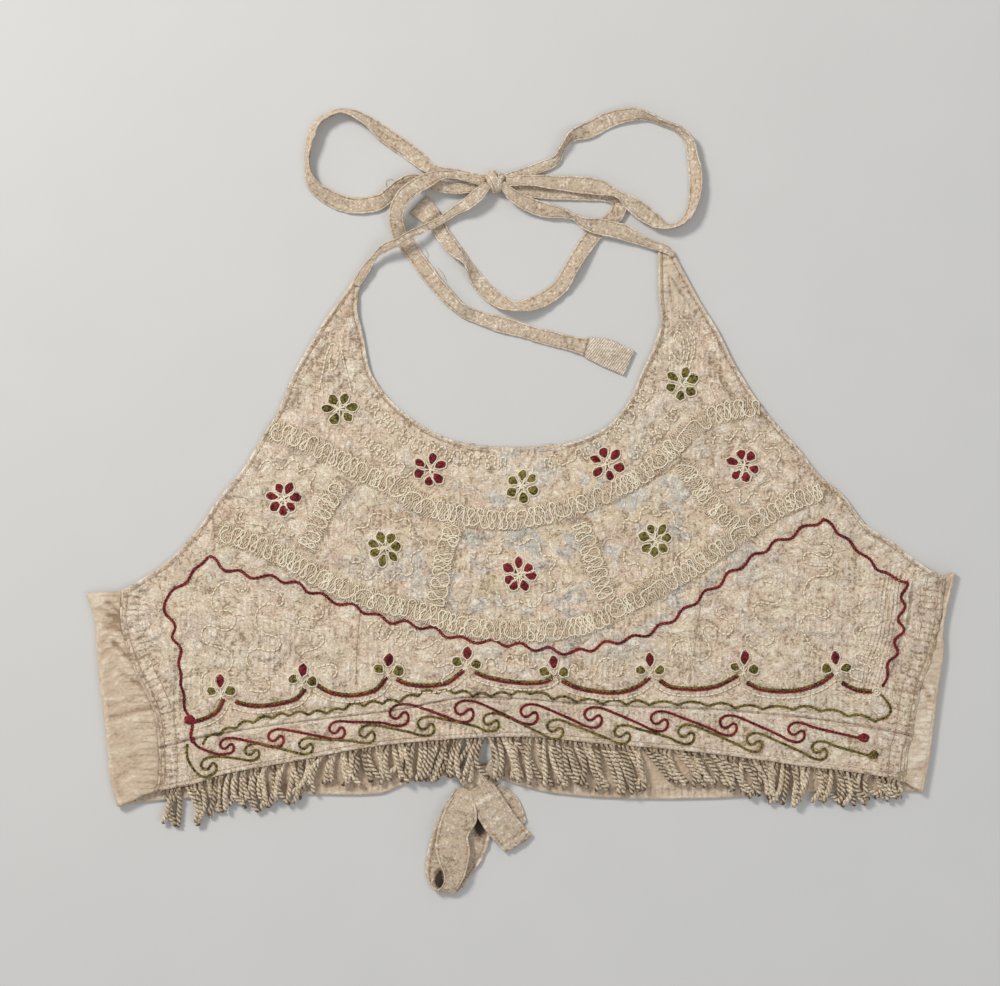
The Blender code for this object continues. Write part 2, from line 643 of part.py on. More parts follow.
def build_all():
    build_front_bodice()
    build_front_hem_band()
    build_back("back_left", SEAM_LEFT, FOLD_LEFT, BACK_HEM_LEFT, BACK_OPENING_LEFT, -1)
    build_back("back_right", SEAM_RIGHT, FOLD_RIGHT, BACK_HEM_RIGHT, BACK_OPENING_RIGHT, 1)
    build_fringe()
    pile = []
    for name, rows in (
        ("neck_tail_left", TAIL_LEFT),
        ("neck_loop_left", LOOP_LEFT),
        ("neck_tail_right", TAIL_RIGHT),
        ("neck_loop_right", LOOP_RIGHT),
        ("neck_strap_right", STRAP_RIGHT),
        ("neck_strap_left", STRAP_LEFT),
    ):
        tie = Tie(rows)
        tie.lay(pile)
        tie.build(name)
    build_knot("neck_knot", TIE_CLOTH, *NECK_KNOT)
    build_knot("back_tie_knot", TIE_CLOTH, *BACK_KNOT)
    build_back_tie("back_tie_loop", BACK_LOOP, BACK_LOOP_ACROSS)
    build_back_tie("back_tie_tail", BACK_TAIL, BACK_TAIL_ACROSS)
    build_back_tie("back_tie_tail_under", BACK_TAIL_UNDER, BACK_TAIL_UNDER_ACROSS)


clear_scene()
garment = bpy.data.collections.new("halter_top")
bpy.context.scene.collection.children.link(garment)
build_all()
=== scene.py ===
import bisect
import itertools
import math
import random

import bmesh
import bpy
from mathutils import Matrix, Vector, kdtree, noise


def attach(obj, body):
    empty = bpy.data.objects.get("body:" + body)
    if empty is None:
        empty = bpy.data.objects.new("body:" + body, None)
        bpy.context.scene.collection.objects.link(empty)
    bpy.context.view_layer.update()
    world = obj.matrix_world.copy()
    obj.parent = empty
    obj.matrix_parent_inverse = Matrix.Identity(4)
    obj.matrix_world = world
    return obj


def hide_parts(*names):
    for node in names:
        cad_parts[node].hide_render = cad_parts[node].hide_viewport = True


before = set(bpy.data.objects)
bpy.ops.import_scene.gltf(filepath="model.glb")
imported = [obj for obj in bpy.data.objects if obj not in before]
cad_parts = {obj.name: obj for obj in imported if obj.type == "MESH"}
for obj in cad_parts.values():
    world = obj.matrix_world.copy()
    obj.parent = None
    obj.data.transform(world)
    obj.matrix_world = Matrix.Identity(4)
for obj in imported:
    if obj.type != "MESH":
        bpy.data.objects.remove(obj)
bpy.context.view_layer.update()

# A quilted and embroidered halter top, laid flat with its front up. Every table is in millimetres in the
# part's own frame: +X along the hem, +Y from the hem to the neck ties, and z = 0 the surface under it.
MM = 0.001
draws = random.Random(6872)

# Walls and how the front lies on the back, as in the solids
FRONT_WALL = 1.2
BACK_WALL = 1.0
TIE_WALL = 1.1
GAP = 0.3
SEAM_HALF_GAP = 0.02
LIFT_OVER_BACK = BACK_WALL + GAP + 0.1
SIDE_LIFT = 0.9
SIDE_LIFT_FROM, SIDE_LIFT_TO = 150.0, 186.0
RAMP_FROM, RAMP_TO = 1.0, 15.0
SWELL = 0.7
# Grid steps of the front's shell in each step of the solid's grid
FINENESS = 7
# Lowest middle of each kind of shell, so that its underside stays off the floor
BACK_LOWEST, TIE_LOWEST, KNOT_LOWEST = 0.46, 0.47, 0.5
# Spacing of the points along edges, along stitched lines and along the lines that wander
EDGE_STEP, LINE_STEP, WANDER_STEP = 0.8, 0.9, 0.7
# Heights y between which the shoulders' rims lose their light, and their cloth its contrast
RIM_FADES, CLOTH_CALMS = (86.0, 108.0), (84.0, 108.0)
# How far seam puckers reach from the side seams and from the rims
SIDE_GATHERS, RIM_GATHERS = 17.0, 8.0

ARMHOLE_LEFT = (
    (-204.6, -46.7), (-186, -35), (-176, -26.5), (-164.5, -13), (-154.5, 1.5), (-144, 14), (-133.5, 31),
)
SHOULDER_LEFT = (
    (-133.5, 31), (-124, 47.5), (-117, 64), (-104, 87), (-100.5, 92.5), (-91, 105.5), (-84, 115.5),
    (-79.2, 121.1),
)
NECK_LEFT = (
    (-16, 27), (-29, 29), (-45, 35), (-60, 45), (-70.5, 55.5), (-76.5, 64.5), (-78.5, 71), (-81.5, 87),
    (-84, 97), (-83, 108), (-78.5, 116), (-75.8, 118.9),
)
NECK_RIGHT = (
    (7, 27), (25, 29.5), (38.5, 34.5), (48, 41), (56.5, 53), (62, 66), (68, 78.5), (71.5, 92), (70.5, 106),
    (70.2, 127.1),
)
SHOULDER_RIGHT = (
    (142, 27), (128, 42.5), (120, 53), (109, 71), (101, 87), (92, 101.5), (83.5, 117), (77.4, 128.2),
)
ARMHOLE_RIGHT = (
    (217.4, -40), (203.5, -31.5), (190.5, -21.5), (177.5, -13), (164.5, 3.5), (154, 12), (142, 27),
)
SEAM_LEFT = (
    (-187.6, -149.2), (-185.6, -143.6), (-185.6, -125.1), (-188.6, -107.2), (-199, -84), (-205, -63),
    (-204.6, -46.7),
)
SEAM_RIGHT = (
    (196.9, -144.6), (198, -129.2), (200.5, -121), (204.6, -97), (208.7, -86), (214.3, -64.5), (217.4, -40),
)
FOLD_LEFT = (
    (-206.6, -156.9), (-210.2, -143.6), (-211.7, -128.2), (-213.8, -107.7), (-215.8, -92.3), (-217.4, -71.8),
    (-218.4, -61), (-222.5, -47.7),
)
FOLD_RIGHT = (
    (206.1, -149.7), (209.7, -129.7), (212.3, -107.7), (214.3, -92.8), (216.4, -78), (216.6, -64.6),
    (222.5, -37.4),
)
BAND_SEAM = (
    (-185.6, -127.1), (-160, -121), (-121.5, -114.8), (-62, -107.5), (-32.8, -101.8), (-7.7, -101.5),
    (26.7, -104.1), (61, -106.1), (104.1, -107.7), (166.6, -114.3), (200.5, -121),
)
FRONT_HEM = (
    (-187.6, -149.2), (-167.1, -145.1), (-152.8, -140.5), (-116.4, -133.8), (-78, -126.6), (-36, -122.5),
    (0, -121.2), (40, -124.6), (82.5, -128.2), (117.4, -132.3), (143, -136), (168.2, -138.9), (185.1, -141.5),
    (196.9, -144.6),
)
BACK_HEM_LEFT = (
    (-206.6, -156.9), (-181.5, -153.8), (-113, -151.2), (-73, -150.8), (-60.5, -146), (-49.7, -143.2),
    (-32.9, -142),
)
BACK_HEM_RIGHT = (
    (206.1, -149.7), (168, -149.7), (138, -150.4), (102, -153), (54, -153.3), (18, -150.7), (4, -147.7),
    (-10.1, -143.4),
)
BACK_TOP = (
    (-222.5, -47.7), (-180, -58), (-120, -68), (-20, -75), (20, -75), (120, -64), (180, -52), (222.5, -37.4),
)
BACK_OPENING_LEFT = ((-32.9, -142), (-29, -120), (-22, -75))
BACK_OPENING_RIGHT = ((-10.1, -143.4), (-7, -120), (-2, -75))
FRINGE_TIPS = (
    (-185, -167), (-165, -165), (-155, -160), (-131, -157), (-116, -155), (-100, -147.5), (-60, -143.5),
    (-20, -143.5), (20, -146), (50, -149), (70, -144.5), (110, -150), (147, -156), (177, -155), (199, -151),
)

# Largest soft folds of the front: x, y of the middle, heading in degrees, length, width and height
FOLDS = (
    (-92, 78, 72, 70, 9, 1), (-112, 42, 58, 60, 11, 0.8), (80, 92, 96, 60, 8, 1), (100, 60, 118, 60, 10, 0.8),
    (-60, 20, 150, 70, 12, 0.7), (60, 14, 25, 70, 12, 0.7), (-83, -68, 88, 40, 6, 0.9),
    (89, -66, 84, 40, 6, 0.9), (-178, -80, 75, 60, 8, 0.9), (196, -75, 105, 60, 7, 0.9),
    (-30, -45, 8, 90, 13, 0.8), (130, -60, -20, 70, 12, 0.8),
)

# Neck ties: x, y, flat width, roll in degrees about the strip's own length
STRAP_LEFT = (
    (-84.6, 109.8, 3.4, 0), (-83.2, 112.6, 5, 0), (-81, 116, 5.4, 0), (-78.4, 119.8, 4.8, 0),
    (-75.4, 123.8, 3.4, 15), (-70.5, 128.4, 5.2, 10), (-63.6, 131.4, 5, 10), (-55.9, 135.9, 4.8, 10),
    (-41.5, 143, 4.6, 0), (-34.4, 147.7, 5.2, 0), (-27.2, 151.8, 7.2, 0), (-22, 156.2, 7.4, 0),
    (-17, 161.2, 4.6, 0),
)
STRAP_RIGHT = (
    (-9.6, 161.8, 3.4, 0), (-4.6, 156.2, 6.6, 0), (5.1, 150.9, 9, 0), (14.9, 148, 8.5, 10),
    (21, 147, 6.4, 30), (27.2, 145.1, 4.8, 55), (33.3, 141.5, 7.6, 20), (40.5, 140, 9.6, 0),
    (52.3, 137.2, 9.2, 5), (60, 133.8, 6.8, 25), (67.4, 130.8, 5, 15), (72.5, 129.2, 4.8, 5),
    (75.4, 127.8, 4.4, 0), (76.9, 126.2, 3.4, 0), (77.6, 124.6, 2.4, 0),
)
LOOP_LEFT = (
    (-18.9, 164.6, 5, 0), (-30.8, 167.1, 5, 0), (-41.5, 168.4, 6, 0), (-47, 170.2, 7.6, 15),
    (-54.3, 176.4, 9.6, 0), (-70.2, 187.6, 9.4, 5), (-79, 194.3, 7.4, 35), (-90.2, 199.2, 6.2, 62),
    (-97.4, 197.7, 6, 60), (-103.6, 193.8, 6.8, 52), (-107.7, 185.6, 7.2, 56), (-109.2, 177.9, 5.8, 64),
    (-109.2, 169.2, 5.8, 62), (-106.1, 161, 8, 36), (-97.4, 154.8, 9.8, 5), (-88.2, 151.4, 9.8, 0),
    (-79, 151.4, 9.4, 0), (-71.8, 153.3, 9, 10), (-64.6, 158.9, 8.2, 25), (-57.5, 163.6, 7.4, 25),
    (-50.2, 163, 7.5, 0), (-41, 160.6, 7, 0), (-30.8, 159.6, 6.5, 0), (-18.9, 160.8, 5.5, 0),
)
LOOP_RIGHT = (
    (-7.7, 165, 5, 0), (1.5, 167.7, 5.5, 0), (11.3, 171.2, 6.6, 0), (17.9, 174.3, 5.6, 30),
    (21.5, 181.5, 5.2, 60), (27.2, 187.1, 7.4, 30), (34.9, 189.8, 9.8, 0), (44.6, 194.8, 9.6, 5),
    (55.4, 197.6, 8.6, 22), (64.1, 197, 6.6, 50), (72.8, 193.3, 5.8, 64), (80.5, 190.2, 6, 58),
    (86.1, 184.6, 6.8, 46), (88.2, 175.9, 7.4, 36), (89.7, 166.1, 8.2, 30), (89.2, 156.4, 8, 36),
    (86.6, 147.1, 6.6, 55), (82, 141.8, 5.8, 66), (75.9, 139.9, 6.2, 60), (69.7, 142.3, 8.4, 20),
    (62.5, 147.4, 9.8, 0), (55.4, 152.3, 8.6, 5), (49.2, 156.4, 4.8, 30), (40.5, 159.9, 9.6, 0),
    (28.7, 161.6, 9.8, 0), (17.9, 162.5, 8, 0), (5.1, 163.6, 6.5, 0), (-7.7, 163.2, 5.5, 0),
)
TAIL_LEFT = (
    (-7.7, 161.2, 6, 0), (5, 158.6, 7.5, 0), (20, 157.6, 8.5, 0), (35, 157.4, 9, 0), (45.5, 156.6, 9, 5),
    (50.6, 152.6, 8, 10), (49.6, 147.4, 9, 5), (45.1, 143, 9, 0), (37.9, 136.6, 9, 0), (31.8, 128.4, 9, 10),
    (25.6, 118.2, 9, 20), (20.5, 109.6, 9, 10), (12.3, 103.4, 9, 10), (3.6, 99.8, 9, 30), (-3.6, 99, 9, 55),
    (-10.8, 101.9, 9, 20), (-17.4, 107, 9.4, 0), (-23.1, 113.8, 8.4, 10), (-27.4, 121, 6.6, 55),
    (-34.4, 128.7, 8.6, 20), (-40.5, 136.9, 9, 0), (-45.1, 144.2, 10.2, 0), (-52.6, 151.6, 12.6, 0),
)
TAIL_RIGHT = (
    (-18.9, 162.4, 5, 0), (-26, 164.4, 4.6, 0), (-34.4, 166.3, 4.8, 0), (-41.5, 165.9, 6, 0),
    (-47.2, 163.4, 8.4, 0), (-54.6, 159.4, 9.4, 0), (-60.4, 154.4, 9, 0), (-63.2, 148.2, 9, 10),
    (-63.6, 141.5, 9, 10), (-61.5, 135.3, 9, 10), (-57.9, 130.2, 9, 0), (-51.8, 121.7, 9, 0),
    (-45.1, 112.8, 9, 10), (-36.9, 103.6, 8.6, 20), (-29.7, 97.2, 7.6, 25), (-23.1, 94.2, 8, 0),
    (-12.3, 90.7, 9, 0), (-1.5, 87.8, 9, 0), (8.7, 84.6, 8.5, 0), (20.5, 81.6, 8.5, 0), (33.1, 78.5, 10.4, 0),
    (38.3, 77.1, 12.4, 0), (43.6, 75.5, 14.2, 0), (55.6, 70.2, 13.8, 0),
)
TIE_STEP = 3.2
TIE_EASE = 2
TIE_SIDE_ROOM = 0.6
TIE_TOP_ROOM = GAP + 0.1
TIE_NARROWING = 0.14
# Bow knot: x, y, half width, half length and height
NECK_KNOT = (-13.3, 163, 5.6, 5.6, 7)

# Where the straps are sewn to the front: x, y, radius and top
STRAP_ENDS = (
    (-83.4, 112.2, 2.6, 1.7), (-81, 116, 2.6, 1.7), (-78.4, 119.6, 2.4, 1.7), (76.2, 126.8, 3, 1.7),
    (77.8, 123, 3, 1.7),
)
# Loose thread ends beside the neck ties
LOOSE_ENDS = (
    ((-68.7, 160.4), (-69.6, 163.4), (-67.2, 165), (-65, 163.6), (-65.4, 160.6)),
    ((-51.6, 132.6), (-49.6, 129.6), (-47.9, 126.1), (-49, 122.6)),
    ((-42.6, 119.4), (-40, 116), (-38.4, 112.4)),
)

# Back tie at the middle of the back hem. Its knot: x, y, half width, half length and height
BACK_KNOT = (-21.5, -141, 11, 8, 3.2)
# The loop's upper face, which curls round an eye at its lower end, and its lower face: left and right edges
BACK_LOOP = (
    (
        ((-30.6, -147, 2.6), (-27.1, -148.2, 2.6)), ((-36.9, -154.2, 4), (-23.6, -156.3, 4)),
        ((-41.4, -164.2, 5), (-22.7, -164.2, 4.6)), ((-43.6, -174.1, 5.2), (-27.1, -172.6, 4.4)),
        ((-43.6, -179.9, 5.2), (-26, -179.3, 4.6)), ((-41.9, -185.9, 5.2), (-27.1, -186.7, 4.6)),
        ((-39.6, -191.1, 5.1), (-29, -192.9, 4.5)), ((-39.5, -195.6, 4.9), (-31.4, -197.4, 4)),
        ((-41.4, -198.8, 4.4), (-33.5, -200.2, 3.2)), ((-44.1, -199.7, 3.8), (-35.1, -201.4, 2.4)),
        ((-46.2, -197.5, 3), (-34.6, -201.6, 1.8)), ((-45.3, -193.5, 2.4), (-32.2, -200.8, 1.6)),
        ((-42.6, -190.4, 2), (-29.3, -198.7, 1.6)),
    ),
    (
        ((-45.4, -199.3, 0.7), (-32.7, -200.9, 1.1)), ((-47.9, -195.6, 0.6), (-27.8, -195.6, 0.6)),
        ((-49, -190.3, 0.6), (-23.1, -189.3, 0.6)), ((-48.3, -182, 0.6), (-18.6, -182, 0.7)),
        ((-46.1, -173.1, 0.6), (-15.8, -172.1, 0.9)), ((-42.6, -163.6, 0.6), (-17.8, -166.8, 0.7)),
        ((-38.8, -156.3, 0.7), (-21.5, -159.5, 0.6)), ((-33.8, -148.2, 1), (-25.9, -149, 0.8)),
    ),
)
# Its ends: x, y, height of the strip's middle, width; then the heading across each end
BACK_TAIL = (
    (-21.5, -146, 5, 13), (-17, -154.8, 4.9, 16), (-11.3, -164.3, 3.9, 16.8), (-5.2, -172, 2.8, 16.8),
    (-1.6, -177.2, 2.1, 16.6),
)
BACK_TAIL_ACROSS = 31.0
BACK_TAIL_UNDER = (
    (-16, -148.6, 0.56, 11), (-8.8, -154.2, 0.56, 13), (-4.9, -161.2, 0.56, 13), (-2.6, -169, 0.56, 12.5),
)
BACK_TAIL_UNDER_ACROSS = 28.0
# Deep places inside the back loop, painted dark as shadow: x, y, half width, half length
LOOP_SHADOWS = ((-42, -194.6, 2.1, 4.2), (-20.8, -163.8, 3.4, 8.5))

# Fringe: strands, ends, and how far the tips lean at places along the hem (x, lean)
STRANDS = 170
FRINGE_ENDS = (-181.5, 195.5)
FRINGE_LEANS = (
    (-185, -3), (-168, 1), (-150, -2), (-130, 3), (-116, -4), (-96, -1), (-75, 1.5), (-52, -2), (-30, -5),
    (-12, 2), (10, 5), (35, 7), (60, 9), (90, 8), (115, 4), (140, -1), (165, 2), (196, 4),
)
# A ply's radius, how far it lies from its strand's middle, and the length of one turn
PLY = 0.84
PLY_APART = 0.7
TWIST = 4.7
WRAP_LENGTH = 4.0

# Embroidery on the front, by the colour of its thread
RED_TOP_LINE = (
    (-160.5, -29.2), (-152.8, -34.4), (-142.5, -37.9), (-120.5, -41.5), (-98.4, -50.8), (-82.5, -55.9),
    (-69.2, -61.5), (-51.3, -64.6), (-30.2, -71.3), (-14.4, -72.8), (1.5, -74.9), (15.4, -76.9),
    (27.7, -77.9), (45.1, -73.3), (61, -69.7), (76.4, -62), (92.3, -49.7), (104.1, -40.5), (114.8, -32.3),
    (125.6, -25.1), (138.9, -17.9), (155.3, -9.7),
)
RED_RIGHT_SHOULDER = ((155.3, -9.7), (161.5, -15.4), (172.3, -25.1), (186.1, -37.4), (197.9, -42))
RED_RIGHT_SIDE = (
    (197.9, -42), (194.8, -49.7), (196.4, -53.8), (193.3, -61), (195.3, -66.7), (191.2, -73.3), (192.3, -79),
    (187.1, -85.1), (187.6, -91.8), (185.1, -95.4),
)
RED_LEFT_SIDE = (
    (-160.5, -29.2), (-163.6, -31.8), (-172.8, -42.6), (-182.5, -50.8), (-181, -59), (-176.9, -65.6),
    (-177.9, -70.8), (-173.8, -77.9), (-175.3, -85.1), (-173.8, -92.8), (-172.8, -103.1), (-170.7, -109.2),
    (-169.2, -112.3), (-168.2, -124.1),
)
OLIVE_LINE = (
    (-163.6, -124.1), (-157.9, -121), (-147.7, -116.9), (-137.4, -113.3), (-121.5, -110.2), (-95.4, -108.2),
    (-87.7, -105.6), (-61.5, -102.5), (-51.3, -99), (-34.9, -98.4), (-19, -100), (4.1, -98.4), (12.8, -100.5),
    (26.7, -102.5), (44.1, -103.6), (66.1, -104.1), (93.3, -104.6), (125.6, -106.6), (147.1, -106.6),
    (168.7, -110.2), (182, -112.8),
)
OLIVE_CORNER = ((182, -112.8), (188.2, -110.2), (189.2, -106.6), (186.1, -101.5), (184.1, -99.5))
RED_SCROLLS = (
    (-150.7, -126.1), (-125.6, -122), (-94.3, -117.9), (-62.5, -110.2), (-29.2, -108.2), (4.1, -109.7),
    (36.9, -111.3), (70.8, -113.3), (106.1, -115.4), (141, -118.9),
)
RED_SCROLL_START = ((-168.2, -121.5), (-166.4, -125.6), (-161, -128.4), (-154.5, -130.2))
RED_SCROLL_END = (172, -121.6)
RED_SCROLL_SIZES = ((-151, 0.76), (-94, 0.86), (-62, 1), (150, 0.95))
OLIVE_SCROLLS = (
    (-160, -136.4), (-137.9, -129.2), (-110.2, -126.1), (-79, -120), (-48.7, -115.9), (-15.4, -113.8),
    (17.4, -117.4), (51.8, -120), (84.6, -120), (119.5, -124.1), (152.8, -128.2),
)
OLIVE_SCROLL_START = ((-170.9, -124.8), (-170.9, -131.6), (-167.8, -137.7), (-162.5, -142))
OLIVE_SCROLL_END = (180, -131.3)
OLIVE_SCROLL_SIZES = ((-160, 0.78), (-110, 0.72), (-79, 0.86), (153, 0.9))

# One turn of the wave scroll about its middle, from the line that comes in below to the one that goes on
SCROLL_TURN = (
    (-9.2, -2.1), (-5, -4.2), (-0.8, -5.4), (2.4, -5.1), (4.3, -3.1), (4.6, -0.5), (3.3, 1.2), (1.6, 0.5),
    (-0.3, -1.2), (-2.1, -1.6), (-3.9, -0.2), (-4.6, 1.8), (-3.4, 3.9), (-0.8, 5.2), (3.4, 5.1), (8.6, 3.3),
)
SCROLL_TILT = 3.0

OLIVE_FLOWERS = ((-92.8, 46.7), (82.5, 59.5), (0.5, 7.2), (-69.7, -24.6), (68.7, -20.5))
RED_FLOWERS = ((-46.7, 15.4), (44.1, 18.5), (-122, 0.5), (114.3, 17.4), (-1, -38.5))
FLOWER_REACH, BUD_REACH = 10.0, 7.0
BUDS = (
    (-153.8, -95.9), (-112.3, -90.2), (-68.2, -85.1), (-28.2, -81.5), (16.9, -86.1), (66.1, -85.1),
    (113.8, -84.1), (161.5, -84.1),
)
# A bud's petals: colour, heading, distance from its base, then the ranges of length and half width; and the
# headings and lengths of the stitches round it
BUD_PETALS = (
    ("red", 92, 4.2, (6, 7), (1.8, 2.2)), ("olive", 24, 2.9, (4.6, 5.4), (1.8, 2.3)),
    ("olive", 156, 2.9, (4.2, 5), (1.7, 2.2)),
)
BUD_STITCHES = ((92, 3.6), (60, 3.4), (125, 3.2), (232, 2.8), (268, 2.2), (312, 3.4), (350, 1.6))
SWAGS = (
    ((-168.2, -113.8), (-161.7, -111.8), (-155.6, -108.1), (-152.5, -102)),
    (
        (-146.4, -103.1), (-141.3, -104.8), (-133.1, -105.5), (-122.9, -104.1), (-114.8, -101.6),
        (-110.7, -96.9),
    ),
    ((-104.6, -94.8), (-98.5, -98.3), (-90.3, -100), (-82.2, -99.6), (-74, -96.9), (-69, -90.7)),
    ((-63.9, -91.8), (-57.8, -94.3), (-47.6, -95.1), (-38.5, -93.8), (-34.6, -91.5), (-29.7, -87.4)),
    ((-23.6, -88.2), (-16.3, -91), (-3.7, -93.3), (6.9, -93.7), (13.6, -92.6), (17.2, -89.9)),
    ((20.9, -92.4), (27.9, -95.8), (40.5, -98.3), (51, -98.3), (59.4, -95.8), (65.7, -91.1)),
    ((71, -92.4), (76.2, -95.6), (86.8, -96.8), (94.8, -96.5), (101.8, -94.8), (110.9, -90)),
    ((115.6, -93.5), (122, -96.6), (132.1, -97.9), (143.1, -97.2), (153.3, -93.8), (159.7, -89.2)),
    ((164.3, -93.5), (169.9, -96.6), (174.8, -97.8), (180, -98.1)),
)
# Leaves at the ends of lines: x, y, heading, length, half width
RED_LEAVES = ((-166.6, -113.6, 160, 6, 2.5), (172.4, -121.6, 0, 5.6, 2.3))
OLIVE_LEAVES = ((177.4, -130.9, 12, 5.4, 2.2),)
# Middle of the small ring of cream thread at the right end of the swags
ROSETTE = (181.8, -98.1)

# Couched lace-like bands and the links between them
LACE_UPPER = (
    (-128.2, 35.9), (-112.3, 30.8), (-91.8, 20), (-65.6, 6.7), (-49.7, -2.6), (-28.7, -8.2), (-7.7, -10.3),
    (12.8, -7.2), (36.4, 0), (60, 11.8), (71.8, 21), (89.2, 37.9), (107.2, 46.1), (122, 47.2),
)
LACE_LOWER = (
    (-154.3, -16.4), (-133.3, -23.6), (-112.3, -34.4), (-91.8, -45.6), (-65.6, -54), (-50, -57.4), (-38, -62),
    (-18.5, -66.4), (-7.7, -67.2), (15.4, -67.2), (37.9, -62.1), (60, -50.2), (83.6, -37.4), (101, -25.6),
    (118.4, -12.8), (136.4, -2.1), (153.8, 4.6),
)
LACE_LINKS = (
    ((-91.8, 7.7), (-99, -1.5), (-104.1, -12.3), (-110.2, -23.6)),
    ((-33.8, -13.3), (-39.5, -27.7), (-41.5, -43.6), (-43.6, -53.8)),
    ((30.2, -12.4), (36.4, -28.2), (41, -42), (44.6, -51.8)),
    ((83.6, 19.4), (92.8, 4.6), (101, -5.6), (110.2, -12.8)),
)
LACE_WIDTH = 11.0
LACE_LANES = (-4.2, -1.6, 1.2, 4)
# How its cord wanders: bend, swing and unevenness
LACE_CORD = (2.02, 23.5, 1.05)

# Cream meanders: the line that each wanders along, how far it turns and the length of each swing
MEANDERS = (
    (((-146, -38), (-154, -60), (-156, -82), (-158, -100)), 1.5, 44),
    (((-128, -46), (-130, -66), (-134, -86), (-136, -98)), 1.5, 42),
    (((-106, -54), (-108, -74), (-98, -92)), 1.5, 42),
    (((-78, -64), (-62, -70), (-46, -74), (-36, -92)), 1.6, 25), (((-18, -84), (-4, -84), (8, -82)), 1.6, 22),
    (((24, -90), (38, -86), (52, -86)), 1.6, 26), (((76, -78), (94, -74), (106, -60)), 1.5, 36),
    (((120, -76), (126, -58), (128, -42)), 1.6, 42),
    (((146, -78), (150, -58), (152, -36), (154, -22)), 1.6, 42),
    (((172, -92), (178, -74), (178, -50)), 1.7, 32),
    (((-76, 48), (-60, 32), (-40, 24), (-20, 20), (-8, 19)), 1.8, 18),
    (((-82, 32), (-66, 20), (-58, 12)), 1.8, 16),
    (((12, 19), (28, 22), (46, 32), (58, 46), (66, 58)), 1.8, 18), (((56, 22), (68, 32), (80, 46)), 1.8, 16),
    (((-134, 18), (-112, 17), (-104, 2)), 1.2, 18), (((-146, -4), (-136, -14), (-116, -16)), 1.2, 18),
    (((-86, -18), (-76, -9), (-60, -11), (-53, -24), (-60, -38), (-76, -40), (-86, -31)), 1, 17),
    (((-17, -32), (-10, -23), (6, -22), (16, -32), (14, -48), (0, -54), (-14, -49)), 1, 17),
    (((52, -14), (64, -6), (78, -9), (85, -21), (78, -34), (62, -37), (52, -28)), 1, 17),
    (((98, 30), (112, 34), (128, 28), (134, 14)), 1.2, 18), (((128, 3), (116, 1), (102, 8)), 1.2, 18),
)
# Cream lines of their own up the arms
CREAM_TENTS = (
    (
        (-103.5, 57), (-101.6, 66), (-99.6, 75), (-96.6, 80.5), (-93.8, 77), (-94.4, 69.5), (-96.8, 66),
        (-98.4, 70), (-97.2, 75),
    ),
    ((-92, 76.5), (-90.4, 69), (-88.6, 62.5), (-87, 55)),
    (
        (75.6, 66), (77, 76.1), (79.2, 72.8), (82, 70.2), (83.4, 74), (83.6, 79), (82.4, 84), (80.4, 86.6),
        (78.4, 84), (78.8, 80),
    ),
    ((81.5, 94.5), (86, 89.5), (88.6, 84), (89.2, 79), (88.6, 74.5), (87.4, 71.3), (86.1, 67)),
    ((85, 83), (86.4, 78), (85.4, 73.5), (84.6, 69)),
)
# Sewn tucks at the tops of the shoulders
TUCKS = (
    ((76, 114), (76.6, 107), (77.4, 99)), ((76.4, 114.6), (82, 107), (90.6, 94.6)),
    ((-83.4, 106), (-87.6, 99), (-92.4, 91.4)),
)
# The line that the quilted channels of the right side run beside
RIGHT_CHANNELS = ((199.5, -34), (196.4, -46), (194.6, -60), (192.4, -72), (188.6, -84), (184.4, -98))
# Its sides are told apart by a straight line: x at this y, and its lean
CHANNELS_LEAN = (191, -68, 0.22)
# Creases of the side panels: depth, then points
SIDE_CREASES = (
    (1, (-211.5, -52.4), (-206.6, -56.6), (-202.6, -60.6)),
    (0.9, (-214.6, -56.6), (-208.4, -59.4), (-203.2, -62.4)),
    (0.7, (-212.6, -65), (-207.6, -65.4), (-202.8, -67.4)),
    (0.8, (-208.6, -73.2), (-204.2, -77), (-200.4, -81.4)),
    (0.5, (-214.6, -105.8), (-202.6, -102.6), (-190.6, -100.2)),
    (0.6, (-211.2, -111.4), (-198.4, -108.4), (-188, -105.6)),
    (0.5, (-205, -88.4), (-199.6, -91.2), (-194.8, -95.2)),
    (0.5, (-208.6, -122), (-198, -117), (-188, -114.4)), (0.6, (205.4, -52), (210.8, -55.2), (215.4, -60.4)),
    (0.6, (204, -66), (208.6, -69.4), (213, -75.2)), (0.6, (200.6, -92), (205.4, -95.4), (209.6, -101.6)),
    (0.5, (194, -116.4), (199.2, -119), (204, -124.6)),
)
# Folds up the arms of the front
ARM_FOLDS = (
    ((-122, 54), (-112, 64), (-101, 77), (-91, 91)), ((-114, 50), (-106, 61), (-95, 73)),
    ((-131, 41), (-122, 46), (-113, 55)), ((116, 45), (106, 57), (97, 71)),
)
# Bust darts
DART_LEFT = ((-82.5, -57.9), (-84, -76), (-84.6, -94.8))
DART_RIGHT = ((92.3, -52.8), (89, -74), (86.6, -92.8))
# Lengths of the chain stitches of lines and scrolls, of the cream running stitches and of the sewing
LINE_PITCH, SCROLL_PITCH, CREAM_PITCH, SEWING_PITCH = 1.9, 1.7, 2.5, 2.6
# Lines of stitching: distances from the side seams, and from the rims
SIDE_STITCHING = (1.1, 3, 9.3)
EDGE_STITCHING = 2.3

# Camera: how much of the surface the photograph's frame spans, and its middle
FRAME_WIDTH = 512.7
FRAME_MIDDLE = (-10.77, 3.59)
LENS, SENSOR = 85.0, 36.0
FLOOR_Z = -0.0002

